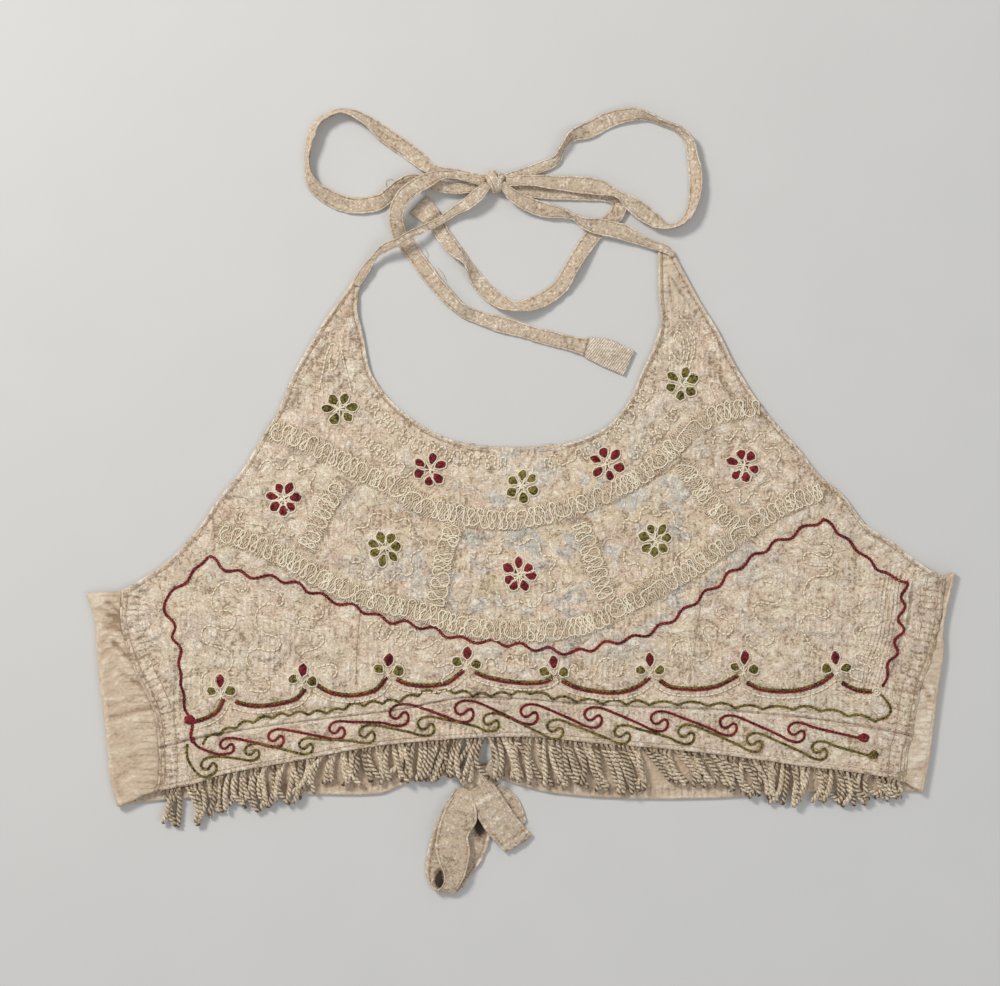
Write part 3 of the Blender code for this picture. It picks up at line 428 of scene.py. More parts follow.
# Cloth textures: a wave texture's scale at a pitch of 1 mm, pitches in millimetres, the twill's turn, and
# where the faded clouds lie: half sizes of the area, and its middle in those sizes
BAND_SCALE = 0.314
WEAVE_PITCH, PUCKER_PITCH = 0.62, 3.4
TWILL_TURN = 38.0
STAINS_REACH, STAINS_MIDDLE = (105.0, 62.0, 200.0), (0.2, -0.4, 0.0)


def smooth_curve(stations, rows):
    """A function from a station to the smooth curve through the rows, which passes through each one."""

    def slope(i):
        low, high = max(i - 1, 0), min(i + 1, len(rows) - 1)
        step = stations[high] - stations[low]
        return [(b - a) / step for a, b in zip(rows[low], rows[high])]

    slopes = [slope(i) for i in range(len(rows))]

    def at(station):
        i = min(max(bisect.bisect_right(stations, station) - 1, 0), len(rows) - 2)
        span = stations[i + 1] - stations[i]
        t = min(max((station - stations[i]) / span, 0.0), 1.0)
        return [
            (2 * t**3 - 3 * t**2 + 1) * a
            + (t**3 - 2 * t**2 + t) * span * m
            + (3 * t**2 - 2 * t**3) * b
            + (t**3 - t**2) * span * n
            for a, b, m, n in zip(rows[i], rows[i + 1], slopes[i], slopes[i + 1])
        ]

    return at


def path(rows):
    """The smooth curve through the rows by share of its length, 0 to 1, and that length."""
    spans = [math.dist(a[:2], b[:2]) for a, b in zip(rows, rows[1:])]
    stations = list(itertools.accumulate(spans, initial=0.0))
    curve = smooth_curve(stations, rows)
    return lambda share: curve(share * stations[-1]), stations[-1]


def route(rows):
    return path(rows)[0]


def profile(rows):
    """y as a smooth function of x."""
    rows = sorted(rows)
    curve = smooth_curve([row[0] for row in rows], rows)
    return lambda x: curve(x)[1]


def joined(*pieces):
    """Routes end to end, each with the number of grid steps that it takes."""
    total = sum(steps for _, steps in pieces)

    def at(share):
        step = share * total
        for curve, steps in pieces:
            if step <= steps + 1e-6:
                return curve(min(step / steps, 1.0))
            step -= steps
        return curve(1.0)

    return at


def line(a, b):
    return lambda share: [p + (q - p) * share for p, q in zip(a, b)]


def patch(bottom, top, left, right):
    """The surface between four routes that meet at their ends."""
    bottoms, tops, lefts, rights = {}, {}, {}, {}

    def kept(store, curve, share):
        key = round(share, 6)
        if key not in store:
            store[key] = curve(share)
        return store[key]

    def at(u, v):
        b, t = kept(bottoms, bottom, u), kept(tops, top, u)
        l, r = kept(lefts, left, v), kept(rights, right, v)
        b0, b1 = kept(bottoms, bottom, 0.0), kept(bottoms, bottom, 1.0)
        t0, t1 = kept(tops, top, 0.0), kept(tops, top, 1.0)
        return [
            (1 - v) * b[i] + v * t[i] + (1 - u) * l[i] + u * r[i]
            - (1 - u) * (1 - v) * b0[i] - u * (1 - v) * b1[i] - (1 - u) * v * t0[i] - u * v * t1[i]
            for i in (0, 1)
        ]

    return at


def ease(x, start, end):
    """0 before start, 1 after end, and smooth between them."""
    t = min(max((x - start) / (end - start), 0.0), 1.0)
    return t * t * (3 - 2 * t)


def bell(x, width):
    return math.exp(-((x / width) ** 2))


def direction(degrees):
    """Cosine and sine of a heading."""
    return math.cos(math.radians(degrees)), math.sin(math.radians(degrees))


def ahead_of(before, after):
    """The direction from one point to another, seen from above."""
    return Vector((after[0] - before[0], after[1] - before[1])).normalized()


def soft_noise(x, y, z):
    """A number from about -1 to 1 that changes smoothly from place to place."""
    return noise.noise(Vector((x, y, z)))


def evenly(rows, step):
    """Points (x, y, distance along) on the smooth curve through the rows, a step apart."""
    along, length = path(rows)
    count = max(round(length / step), 2)
    points = [along(i / count)[:2] for i in range(count + 1)]
    spans = [math.dist(a, b) for a, b in zip(points, points[1:])]
    return [(*p, s) for p, s in zip(points, itertools.accumulate(spans, initial=0.0))]


def beside(points, side_at):
    """The same points moved to the left of their direction, by a function of the distance along."""
    found = []
    for i, point in enumerate(points):
        ahead = ahead_of(points[max(i - 1, 0)], points[min(i + 1, len(points) - 1)])
        side = side_at(point[2])
        found.append((point[0] - ahead.y * side, point[1] + ahead.x * side, point[2]))
    return found


back_top_at = profile(BACK_TOP)
front_hem_at = profile(FRONT_HEM)
back_hem_left_at, back_hem_right_at = profile(BACK_HEM_LEFT), profile(BACK_HEM_RIGHT)
fold_headings = [direction(row[2]) for row in FOLDS]


def fold_height(x, y):
    """Height that the largest soft folds add at a point."""
    height = 0.0
    for (fold_x, fold_y, _, length, width, rise), (cos, sin) in zip(FOLDS, fold_headings):
        away_x, away_y = x - fold_x, y - fold_y
        reach = (away_x * cos + away_y * sin) / (length / 2)
        side = (away_x * sin - away_y * cos) / (width / 2)
        if abs(reach) < 2 and abs(side) < 4:
            height += rise * math.exp(-(reach**4)) * math.exp(-(side**2))
    return height


def front_under(x, y):
    """Height of the front's underside: on the surface above the back's top edge, and on the back below it."""
    over_back = 1 - ease(y - back_top_at(x), RAMP_FROM, RAMP_TO)
    side = SIDE_LIFT * ease(abs(x), SIDE_LIFT_FROM, SIDE_LIFT_TO)
    swell = SWELL * (1 + math.sin(x / 21) * math.sin(y / 15 + x / 47)) / 2
    return over_back * (LIFT_OVER_BACK + side + swell) + fold_height(x, y)


def wander(rows, bend, swing, seed, uneven):
    """A line that swings from side to side of the rows and doubles back, as guided stitching does."""
    along, length = path(rows)
    advance = sum(math.cos(bend * math.cos(math.tau * k / 40)) for k in range(40)) / 40
    reach = side = turned = 0.0
    swings = []
    for k in range(round(length / advance / WANDER_STEP) + 1):
        swings.append((reach, side))
        drift = uneven * soft_noise(k * WANDER_STEP / swing * 2.3, seed * 3.7, 0.0)
        turned += math.tau * WANDER_STEP / swing * (1 + drift)
        heading = bend * (1 + 0.3 * drift) * math.cos(turned)
        heading += 0.6 * uneven * soft_noise(k * WANDER_STEP / swing * 1.7, seed * 5.1, 9.0)
        reach += math.cos(heading) * WANDER_STEP
        side += math.sin(heading) * WANDER_STEP
    stretch, half = length / swings[-1][0], round(swing / WANDER_STEP / 2)
    sums = list(itertools.accumulate((side for _, side in swings), initial=0.0))
    found = []
    for k, (reach, side) in enumerate(swings):
        low, high = max(k - half, 0), min(k + half + 1, len(swings))
        side -= (sums[high] - sums[low]) / (high - low)
        share = min(max(reach * stretch / length, 0.0), 1.0)
        x, y = along(share)[:2]
        ahead = ahead_of(along(max(share - 0.01, 0.0)), along(min(share + 0.01, 1.0)))
        found.append((x - ahead.y * side, y + ahead.x * side))
    return found


def wavy(rows, wave, size, pointed=False):
    """The rows' line with an uneven wave from side to side, which may be pointed on one side."""
    points = evenly(rows, 0.8)
    turns = round(points[-1][2] / wave)

    def side_at(along):
        turn = math.pi * turns * along / points[-1][2] + 0.35 * soft_noise(along / 13, size, wave)
        if pointed:
            return size * (2 * abs(math.sin(turn)) ** 0.8 - 1)
        return size * math.sin(2 * turn) * (1 + 0.3 * soft_noise(along / 19, 3, wave))

    return [point[:2] for point in beside(points, side_at)]


def scroll(heads, start, end, sizes):
    """A running wave scroll through the heads, as one line, with the size of its turns at places along x."""
    rows, size_at = list(start), profile(sizes)
    for i, (x, y) in enumerate(heads):
        before, after = heads[max(i - 1, 0)], heads[min(i + 1, len(heads) - 1)]
        tilt = math.atan2(after[1] - before[1], after[0] - before[0]) + math.radians(SCROLL_TILT)
        cos, sin = math.cos(tilt), math.sin(tilt)
        size = size_at(x) * draws.uniform(0.95, 1.04)
        turn = SCROLL_TURN[3:] if i == 0 else SCROLL_TURN
        rows.extend((x + (a * cos - b * sin) * size, y + (a * sin + b * cos) * size) for a, b in turn)
    return [*rows, end]


class Marks:
    """Lines, each with sizes of its own, to ask for the nearest one from any point."""

    def __init__(self, lines):
        self.rows = [(along, *sizes) for points, *sizes in lines for _, _, along in points]
        self.tree = kdtree.KDTree(len(self.rows))
        for i, (x, y, _) in enumerate(point for points, *_ in lines for point in points):
            self.tree.insert((x, y, 0.0), i)
        self.tree.balance()

    def near(self, x, y):
        """Distance to the nearest line, distance along it, and its sizes."""
        _, i, away = self.tree.find((x, y, 0.0))
        return away, *self.rows[i]


def spaced(lines, *sizes, step=LINE_STEP):
    """Lines as Marks takes them, with points this far apart and the same sizes each."""
    return [(evenly(rows, step), *sizes) for rows in lines]


neck_edge = [*reversed(NECK_LEFT), *NECK_RIGHT]
armhole_left_edge = [*ARMHOLE_LEFT[:-1], *SHOULDER_LEFT]
armhole_right_edge = [*ARMHOLE_RIGHT[:-1], *SHOULDER_RIGHT]
rims = Marks(spaced((neck_edge, armhole_left_edge, armhole_right_edge), step=EDGE_STEP))
hem_rim = Marks(spaced([FRONT_HEM], step=EDGE_STEP))
band_seam = Marks(spaced([BAND_SEAM], step=EDGE_STEP))
side_seams = Marks(spaced([SEAM_LEFT, SEAM_RIGHT], step=EDGE_STEP))

red_lines = [
    wavy(RED_TOP_LINE, 14.6, 1.35), wavy(RED_RIGHT_SHOULDER, 15.0, 0.8), wavy(RED_RIGHT_SIDE, 11.0, 0.6),
    wavy(RED_LEFT_SIDE, 14.0, 0.7),
]
red_scroll = scroll(RED_SCROLLS, RED_SCROLL_START, RED_SCROLL_END, RED_SCROLL_SIZES)
olive_scroll = scroll(OLIVE_SCROLLS, OLIVE_SCROLL_START, OLIVE_SCROLL_END, OLIVE_SCROLL_SIZES)
olive_lines = [
    wavy(OLIVE_LINE[:12], 9.4, 1.25, True), wavy(OLIVE_LINE[11:16], 11.8, 1.35, True),
    wavy(OLIVE_LINE[15:], 14.4, 1.1, True), OLIVE_CORNER,
]
cream_lines = [wander(*row, seed, 1.0) for seed, row in enumerate(MEANDERS)] + [*CREAM_TENTS]
cream_lines += [[point[:2] for point in beside(evenly(rows, 2.0), lambda along: -3.6)] for rows in SWAGS]
side_lines = [
    beside(evenly(seam, 1.0), lambda along, offset=side * offset: offset)
    for seam, side in ((SEAM_LEFT, -1), (SEAM_RIGHT, 1))
    for offset in SIDE_STITCHING
]

stitched = Marks(
    spaced((*red_lines, *olive_lines, red_scroll, olive_scroll, *SWAGS), 0.36, 1.5)
    + spaced(cream_lines, 0.3, 1.3) + spaced((DART_LEFT, DART_RIGHT), 0.4, 0.9) + spaced(TUCKS, 0.6, 0.8)
    + spaced(ARM_FOLDS, 0.42, 1.9) + [(points, 0.4, 0.9) for points in side_lines]
)
lace = Marks(spaced((LACE_UPPER, LACE_LOWER, *LACE_LINKS)))
right_channels = Marks(spaced([RIGHT_CHANNELS]))
side_creases = Marks([(evenly(rows, EDGE_STEP), depth) for depth, *rows in SIDE_CREASES])


def puffs(x, y):
    """Height of the soft crumples between the lines of stitching."""
    spot = Vector((x, y, 0.0))
    soft = 0.4 * noise.noise(spot / 12.0) + 0.4 * noise.noise(spot / 5.0 + Vector((40.0, 7.0, 3.0)))
    creased = 0.36 * (0.35 - abs(noise.noise(spot / 9.0 + Vector((9.0, 31.0, 5.0)))) ** 0.7)
    return soft - creased


def over_lace(x, y):
    return 1 - ease(lace.near(x, y)[0], LACE_WIDTH / 2 - 0.8, LACE_WIDTH / 2 + 0.8)


def relief(x, y):
    """Height of the front's puckers, stitch troughs and rolled edges at a point."""
    away, _, depth, width = stitched.near(x, y)
    trough = -depth * bell(away, width) + 0.3 * ease(away, width, 5.0)
    from_rim, from_hem, from_band = rims.near(x, y)[0], hem_rim.near(x, y)[0], band_seam.near(x, y)[0]
    rim = 0.42 * bell(from_rim - 0.9, 1.0) - 0.42 * bell(from_rim - EDGE_STITCHING, 0.8)
    hem = 0.3 * bell(from_hem - 0.6, 0.9) - 0.25 * bell(from_hem - 2.2, 0.8)
    band = 0.35 * bell(from_band - 1.4, 0.9) - 0.3 * bell(from_band, 0.7)
    calm = ease(from_rim, 1.0, 5.0) * ease(from_band, 0.5, 3.5) * (1 - 0.6 * over_lace(x, y))
    return 0.25 + calm * puffs(x, y) + trough + rim + hem + band + 0.25 * over_lace(x, y)


def front_top(x, y):
    return max(front_under(x, y) + FRONT_WALL + relief(x, y), FRONT_WALL + 0.03)


def painted_light_at(x, y):
    """Painted light of the front's cloth, from -1 in the troughs to 1 on the ridges: painted light and shade
    of the puffs, painted highlight on the rolled rims and beside the band seam, painted shade in the stitch
    troughs, along the rims' stitching and on the band seam, and darker under the lace.
    """
    away, _, depth, width = stitched.near(x, y)
    from_rim, from_band = rims.near(x, y)[0], band_seam.near(x, y)[0]
    painted_light_and_tone = 0.9 * puffs(x, y) * (1 - over_lace(x, y)) - 1.9 * depth * bell(away, 0.8 * width)
    painted_light_and_tone += 0.5 * bell(from_rim - 0.7, 0.9) * (1 - 0.9 * ease(y, *RIM_FADES))
    painted_light_and_tone -= 0.4 * bell(from_rim - EDGE_STITCHING, 0.7)
    painted_light_and_tone += 0.5 * bell(from_band - 1.3, 0.8) - 0.4 * bell(from_band, 0.7)
    return painted_light_and_tone - 0.8 * over_lace(x, y)


def gathers_at(x, y):
    """How strongly seam puckers show at a point, and the distance along the seam that they belong to."""
    from_side, along, *_ = side_seams.near(x, y)
    from_rim, rim_along, *_ = rims.near(x, y)
    if from_side < SIDE_GATHERS and from_side < from_rim + 6:
        return 0.8 * ease(from_side, 0.5, 2.5) * (1 - ease(from_side, 9.0, SIDE_GATHERS)), along
    if from_rim < RIM_GATHERS:
        return ease(from_rim, 0.5, 2.0) * (1 - ease(from_rim, 3.0, 7.0)) * 0.7, rim_along
    from_line, *_ = right_channels.near(x, y)
    line_x, line_y, lean = CHANNELS_LEAN
    from_line *= math.copysign(1.0, x - line_x - lean * (y - line_y))
    shown = (1 - ease(-from_line, 9.0, 19.0)) * (1 - ease(from_line, 9.0, 13.0))
    shown *= ease(abs(from_line), 0.4, 1.6)
    return 0.9 * shown * ease(y, -104.0, -94.0) * (1 - ease(y, -40.0, -30.0)), 1.7 * from_line


class Wire:
    """A shader socket, whose arithmetic adds Math nodes."""

    def __init__(self, tree, socket):
        self.tree, self.socket = tree, socket

    def maths(self, operation, *others, swapped=False):
        made = self.tree.nodes.new("ShaderNodeMath")
        made.operation = operation
        terms = (self, *others) if not swapped else (*others, self)
        for slot, term in zip(made.inputs, terms):
            feed(self.tree, slot, term)
        return Wire(self.tree, made.outputs[0])

    def __add__(self, other):
        return self.maths("ADD", other)

    def __sub__(self, other):
        return self.maths("SUBTRACT", other)

    def __rsub__(self, other):
        return self.maths("SUBTRACT", other, swapped=True)

    def __mul__(self, other):
        return self.maths("MULTIPLY", other)


def feed(tree, slot, value):
    if isinstance(value, Wire):
        tree.links.new(value.socket, slot)
    else:
        slot.default_value = value


class Finish:
    """A material under construction, with its nodes in the object's own coordinates in millimetres."""

    def __init__(self, name, roughness):
        self.material = bpy.data.materials.new(name)
        self.material.use_nodes = True
        self.tree = self.material.node_tree
        self.shader = self.tree.nodes["Principled BSDF"]
        self.shader.inputs["Roughness"].default_value = roughness
        self.shader.inputs["Specular IOR Level"].default_value = 0.25
        self.place = self.vector("SCALE", self.node("TexCoord", out="Object"), 1 / MM, "Scale")

    def node(self, kind, settings=None, sockets=None, out=0):
        made = self.tree.nodes.new("ShaderNode" + kind)
        for key, value in (settings or {}).items():
            setattr(made, key, value)
        for key, value in (sockets or {}).items():
            feed(self.tree, made.inputs[key], value)
        return Wire(self.tree, made.outputs[out])

    def vector(self, operation, at, other, slot=1, out=0):
        return self.node("VectorMath", {"operation": operation}, {0: at, slot: other}, out)

    def bent(self, size, reach):
        """The place, pushed about softly, so that what follows it meanders."""
        push = self.vector("SUBTRACT", self.mottle(size, size, 1, out="Color"), (0.5, 0.5, 0.5))
        return self.vector("ADD", self.place, self.vector("SCALE", push, reach, "Scale"))

    def stretched(self, x, y, z=1, turn=0, place=None):
        """The place, turned by some degrees and divided by these sizes."""
        at = place or self.place
        if turn:
            at = self.node("Mapping", {}, {"Vector": at, "Rotation": (0.0, 0.0, math.radians(turn))})
        return self.vector("MULTIPLY", at, (1 / x, 1 / y, 1 / z))

    def mottle(self, x, y, detail=2, distortion=0, z=1, turn=0, place=None, out=0):
        """Soft noise in spots of about these sizes."""
        at = self.stretched(x, y, z, turn, place)
        sockets = {"Vector": at, "Scale": 1, "Detail": detail, "Distortion": distortion}
        return self.node("TexNoise", {"normalize": True}, sockets, out)

    def creases(self, x, y):
        """Soft puffs with narrow creases between them."""
        settings = {"noise_type": "RIDGED_MULTIFRACTAL", "normalize": True}
        sockets = {
            "Vector": self.stretched(x, y), "Scale": 0.5, "Detail": 2, "Roughness": 0.5, "Distortion": 0.4,
            "Offset": 1, "Gain": 1,
        }
        return 1.0 - self.node("TexNoise", settings, sockets)

    def bands(self, at, pitch, distortion, detail=2, axis="X", more=None):
        """Soft waves side by side at this pitch."""
        sockets = {"Vector": at, "Scale": BAND_SCALE / pitch, "Distortion": distortion, "Detail": detail}
        settings = {"wave_type": "BANDS", "bands_direction": axis}
        return self.node("TexWave", settings, {**sockets, **(more or {})}, "Fac")

    def attribute(self, name):
        return self.node("Attribute", {"attribute_name": name}, out="Fac")

    def span(self, value, low, high, to_low=0.0, to_high=1.0):
        sockets = {"Value": value, "From Min": low, "From Max": high, "To Min": to_low, "To Max": to_high}
        return self.node("MapRange", {"interpolation_type": "SMOOTHSTEP"}, sockets)

    def mix(self, a, b, factor):
        a, b = ((*colour, 1.0) if isinstance(colour, tuple) else colour for colour in (a, b))
        return self.node("Mix", {"data_type": "RGBA"}, {0: factor, 6: a, 7: b}, 2)

    def shaded(self, colour, light, dark, low, pale, high):
        """The colour, darker where the light is low and paler where it is high."""
        colour = self.mix(colour, dark, self.span(light, *low, 1.0, 0.0))
        return self.mix(colour, pale, self.span(light, *high))

    def done(self, colour, height, depth):
        """Sets the colour, and a bump whose heights 0 to 1 span the depth in millimetres."""
        bump = self.node("Bump", {}, {"Height": height, "Distance": depth * MM, "Strength": 1}, "Normal")
        feed(self.tree, self.shader.inputs["Base Color"], colour)
        feed(self.tree, self.shader.inputs["Normal"], bump)
        return self.material


def weave(finish):
    """Height of a plain weave's threads, uneven as homespun is."""
    more = {"Detail Scale": 1.5, "Phase Offset": finish.mottle(5, 5, 1) * 6.0}
    across, along = (finish.bands(finish.place, WEAVE_PITCH, 1.2, 2, axis, more) for axis in ("X", "Y"))
    return (across + along) * 0.5


def gathered(finish):
    """Narrow seam puckers across a line of stitching, from the distance along it that the shell holds."""
    along = finish.attribute("along") + finish.mottle(5, 5) * 3.4
    wave = (along * (math.pi / PUCKER_PITCH)).maths("SINE").maths("ABSOLUTE")
    return (finish.span(wave, 0.0, 0.8) - 0.8) * finish.attribute("gathers")


def quilted_cotton():
    finish = Finish("quilted_cotton_cloth", 0.93)
    painted_light_and_tone, puckers = finish.attribute("painted_light_and_tone"), gathered(finish)
    patches, clouds, flecks = finish.mottle(30, 24, 3), finish.mottle(7, 6, 3, 0.6), finish.mottle(1.1, 0.9)
    slubs_x, slubs_y = finish.mottle(5, 0.7), finish.mottle(0.7, 5)
    crumples = finish.creases(5.2, 4.4)
    bent = finish.bent(10, 13)
    upright = finish.mottle(1.7, 5.4, 3, 0.6, turn=8, place=bent)
    level = finish.mottle(5.2, 1.8, 3, 0.6, turn=14, place=bent)
    turning = finish.span(finish.mottle(15, 11, 1), 0.42, 0.56)
    crinkles = level + (upright - level) * turning
    stains = finish.mottle(17, 12, 2, 0.4)
    from_middle = finish.vector("DISTANCE", finish.stretched(*STAINS_REACH), STAINS_MIDDLE, out="Value")
    stained = finish.span(from_middle, 0.5, 1.25, 1.0, 0.25)
    ripples = finish.bands(finish.place, 2.8, 5, 1, more={"Detail Scale": 0.2})
    ribbed = (ripples - 0.5) * finish.span(finish.mottle(44, 30), 0.45, 0.62)
    # Painted shade in the crumples' creases, stronger where the clouds are
    creased = finish.span(crumples, 0.04, 0.3, 1.0, 0.0) * finish.span(clouds, 0.36, 0.62, 0.3, 1.0)
    height = crumples * 0.6 + crinkles + ribbed * 0.35 + puckers * 0.35 + flecks * 0.26
    # Painted light and shade of the crinkles, creases, ribs and puckers, and the shell's painted light, with
    # fibre flecks and slubs
    light = (crinkles - 0.5) * 2.7 + (flecks - 0.5) * 1.9 + (slubs_x + slubs_y - 1.0) * 0.4
    light = (light - creased * 0.42 + ribbed * 0.25 + 0.1) * (1.0 - finish.attribute("tab") * 0.6)
    light = light + puckers * 0.6 + painted_light_and_tone * 0.5 + 0.1
    warm, peach = (0.725, 0.59, 0.43), (0.715, 0.545, 0.41)
    grey, ochre = (0.55, 0.535, 0.49), (0.76, 0.61, 0.39)
    colour = finish.mix(warm, peach, finish.span(patches, 0.35, 0.62))
    colour = finish.mix(colour, grey, finish.span(stains, 0.49, 0.62) * stained * 0.85)
    colour = finish.mix(colour, ochre, finish.span(stains, 0.36, 0.46, 1.0, 0.0) * stained * 0.6)
    # Painted shade and painted highlight colours, mixed in by the light
    dark, pale = (0.36, 0.26, 0.175), (0.92, 0.83, 0.68)
    colour = finish.shaded(colour, light, dark, (-0.75, -0.02), pale, (0.02, 0.7))
    return finish.done(colour, height + weave(finish) * 0.05, 0.8)


def plain_twill():
    finish = Finish("plain_twill_cloth", 0.9)
    painted_light_and_tone, puckers = finish.attribute("painted_light_and_tone"), gathered(finish)
    patches, flecks = finish.mottle(26, 40, 3), finish.mottle(1.3, 1.1)
    ribs = finish.bands(finish.stretched(1, 1, turn=TWILL_TURN), 1.0, 1.5)
    creases = finish.mottle(9, 2.8, 3, 0.8, turn=-24)
    folds = finish.mottle(24, 7, 2, 0.8, turn=-30)
    height = creases * 0.5 + folds * 0.6 + flecks * 0.16 + ribs * 0.1 + puckers * 0.3
    # Painted light and shade of the creases, folds, ribs and puckers, with fibre flecks
    light = (creases - 0.5) * 0.9 + (folds - 0.5) * 1.3 + (flecks - 0.5) * 1.8 + (ribs - 0.5) * 0.5
    light = light + puckers * 0.4 + painted_light_and_tone * 0.7
    colour = finish.mix((0.66, 0.515, 0.375), (0.63, 0.475, 0.34), finish.span(patches, 0.35, 0.65))
    colour = finish.shaded(colour, light, (0.36, 0.25, 0.16), (-0.9, -0.05), (0.87, 0.765, 0.62), (0.05, 0.8))
    return finish.done(colour, height, 0.75)


def tie_cloth():
    finish = Finish("tie_strip_cloth", 0.92)
    painted_light_and_tone, tab = finish.attribute("painted_light_and_tone"), finish.attribute("tab")
    patches, flecks = finish.mottle(14, 14), finish.mottle(1.1, 1.1)
    crinkles = finish.mottle(2.1, 1.8, 3, 0.8)
    ribs = finish.bands(finish.stretched(1, 1, turn=TWILL_TURN), 1.1, 4, 3)
    light = (crinkles - 0.5) * 1.9 + (flecks - 0.5) * 1.7 + (patches - 0.5) * 1.6 + painted_light_and_tone * 0.6
    light = light + (ribs - 0.5) * (tab * 0.3 + 0.2) + tab * 0.32
    colour = finish.mix((0.63, 0.505, 0.375), (0.58, 0.45, 0.325), finish.span(patches, 0.35, 0.65))
    colour = finish.shaded(colour, light, (0.33, 0.23, 0.15), (-0.8, 0.0), (0.88, 0.79, 0.655), (0.05, 0.75))
    # Painted shadow: near black where the light is lowest, as in the back loop's eye
    colour = finish.mix(colour, (0.06, 0.042, 0.03), finish.span(light, -2.2, -1.1, 1.0, 0.0))
    height = crinkles * 0.6 + flecks * 0.3 + ribs * (tab * 0.4 + 0.06) + weave(finish) * 0.08
    return finish.done(colour, height, 0.55)


def yarn(name, dark, light, grain, depth, roughness=0.8, groove_shade=None):
    """A spun thread: fine light and dark fibres, and, when given a shade colour, painted shade between its
    plies.
    """
    finish = Finish(name, roughness)
    fibres, worn = finish.mottle(grain, grain, 3, z=grain), finish.mottle(9, 9, z=9)
    colour = finish.mix(dark, light, finish.span(fibres * 0.75 + worn * 0.25, 0.36, 0.64))
    if groove_shade:
        colour = finish.mix(colour, groove_shade, finish.span(finish.attribute("painted_light_and_tone"), 0.4, 0.92, 1.0, 0.0))
    return finish.done(colour, fibres, depth)


def pale_floor():
    finish = Finish("pale_floor", 0.85)
    grain = finish.mottle(60, 60, 4)
    return finish.done(finish.mix((0.66, 0.655, 0.64), (0.7, 0.69, 0.675), grain), grain, 0.3)


FINISHES = {
    "cotton": quilted_cotton(),
    "twill": plain_twill(),
    "tie": tie_cloth(),
    "fringe": yarn(
        # its last colour is painted shade between the plies
        "fringe_yarn_plied", (0.47, 0.35, 0.225), (0.92, 0.79, 0.61), 0.8, 0.16, groove_shade=(0.13, 0.08, 0.045)
    ),
    "strip": yarn("fringe_heading", (0.3, 0.2, 0.12), (0.7, 0.54, 0.38), 0.8, 0.2),
    "red": yarn("crimson_thread", (0.05, 0.003, 0.005), (0.36, 0.034, 0.04), 1.0, 0.12, 0.6),
    "olive": yarn("olive_thread", (0.024, 0.019, 0.003), (0.33, 0.26, 0.062), 1.0, 0.12, 0.6),
    "cream": yarn("cream_thread", (0.8, 0.68, 0.49), (1.0, 0.93, 0.77), 0.6, 0.1, 0.6),
    "beige": yarn("beige_thread", (0.62, 0.49, 0.33), (0.95, 0.84, 0.66), 0.6, 0.1, 0.6),
    "tan": yarn("tan_sewing_thread", (0.33, 0.235, 0.15), (0.58, 0.44, 0.3), 0.7, 0.1, 0.65),
}


def finished(name, mesh, finish):
    mesh.name = name
    mesh.shade_smooth()
    mesh.materials.clear()
    mesh.materials.append(FINISHES[finish])
    piece = bpy.data.objects.new(name, mesh)
    bpy.context.scene.collection.objects.link(piece)
    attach(piece, "root")
    return piece


def cloth(name, sheets, finish, wall, offset, weld=0.02):
    """A thin shell from sheets (columns, rows, place): place(u, v) gives x, y, z and the layers' values."""
    bm = bmesh.new()
    # The first layer holds each point's painted light and shade
    layers = [bm.verts.layers.float.new(kind) for kind in ("painted_light_and_tone", "tab", "gathers", "along")]
    for columns, rows, place in sheets:
        for vert in bmesh.ops.create_grid(bm, x_segments=columns, y_segments=rows, size=0.5)["verts"]:
            x, y, z, *values = place(vert.co.x + 0.5, vert.co.y + 0.5)
            vert.co = Vector((x, y, z)) * MM
            # A layer that place gives no value for stays 0
            for layer, value in zip(layers, values):
                vert[layer] = value
    if len(sheets) > 1:
        bmesh.ops.remove_doubles(bm, verts=bm.verts, dist=weld * MM)
    bmesh.ops.recalc_face_normals(bm, faces=bm.faces)
    if sum(face.normal.z for face in bm.faces) < 0:
        bmesh.ops.reverse_faces(bm, faces=bm.faces)
    mesh = bpy.data.meshes.new(name)
    bm.to_mesh(mesh)
    bm.free()
    piece = finished(name, mesh, finish)
    solid = piece.modifiers.new("wall", "SOLIDIFY")
    solid.thickness, solid.offset = wall * MM, offset
    return piece


def threads(name, strands, radius, finish, sides=4):
    """Round threads along strands of (x, y, z, thickness share), as one mesh."""
    curve = bpy.data.curves.new(name, "CURVE")
    curve.dimensions = "3D"
    curve.bevel_depth = radius * MM
    curve.bevel_resolution = sides // 2 - 2
    curve.use_fill_caps = True
    for strand in strands:
        spline = curve.splines.new("POLY")
        spline.points.add(len(strand) - 1)
        spline.points.foreach_set("co", [c for x, y, z, _ in strand for c in (x * MM, y * MM, z * MM, 1.0)])
        spline.points.foreach_set("radius", [row[3] for row in strand])
    holder = bpy.data.objects.new(name + "_lines", curve)
    mesh = bpy.data.meshes.new_from_object(holder)
    bpy.data.objects.remove(holder)
    bpy.data.curves.remove(curve)
    bm = bmesh.new()
    bm.from_mesh(mesh)
    bmesh.ops.remove_doubles(bm, verts=bm.verts, dist=0.001 * MM)
    bm.to_mesh(mesh)
    bm.free()
    return finished(name, mesh, finish)


def on_front(flat_place):
    def at(u, v):
        x, y = flat_place(u, v)
        return x, y, front_top(x, y), painted_light_at(x, y), ease(y, *CLOTH_CALMS), *gathers_at(x, y)

    return at


def seam_route(seam, low_y, high_y, shift=0.0):
    """A side seam from one height up to another, moved sideways by the shift."""
    x_at = profile([(y, x) for x, y in seam])

    def at(share):
        y = low_y + (high_y - low_y) * share
        return [x_at(y) + shift, y]

    return at


def edge_route(height_at, start_x, end_x, shift=0.0):
    """An edge that runs from side to side, moved up by the shift."""

    def at(share):
        x = start_x + (end_x - start_x) * share
        return [x, height_at(x) + shift]

    return at


def seam_ends(rows):
    return rows[0][0] + SEAM_HALF_GAP, rows[-1][0] - SEAM_HALF_GAP


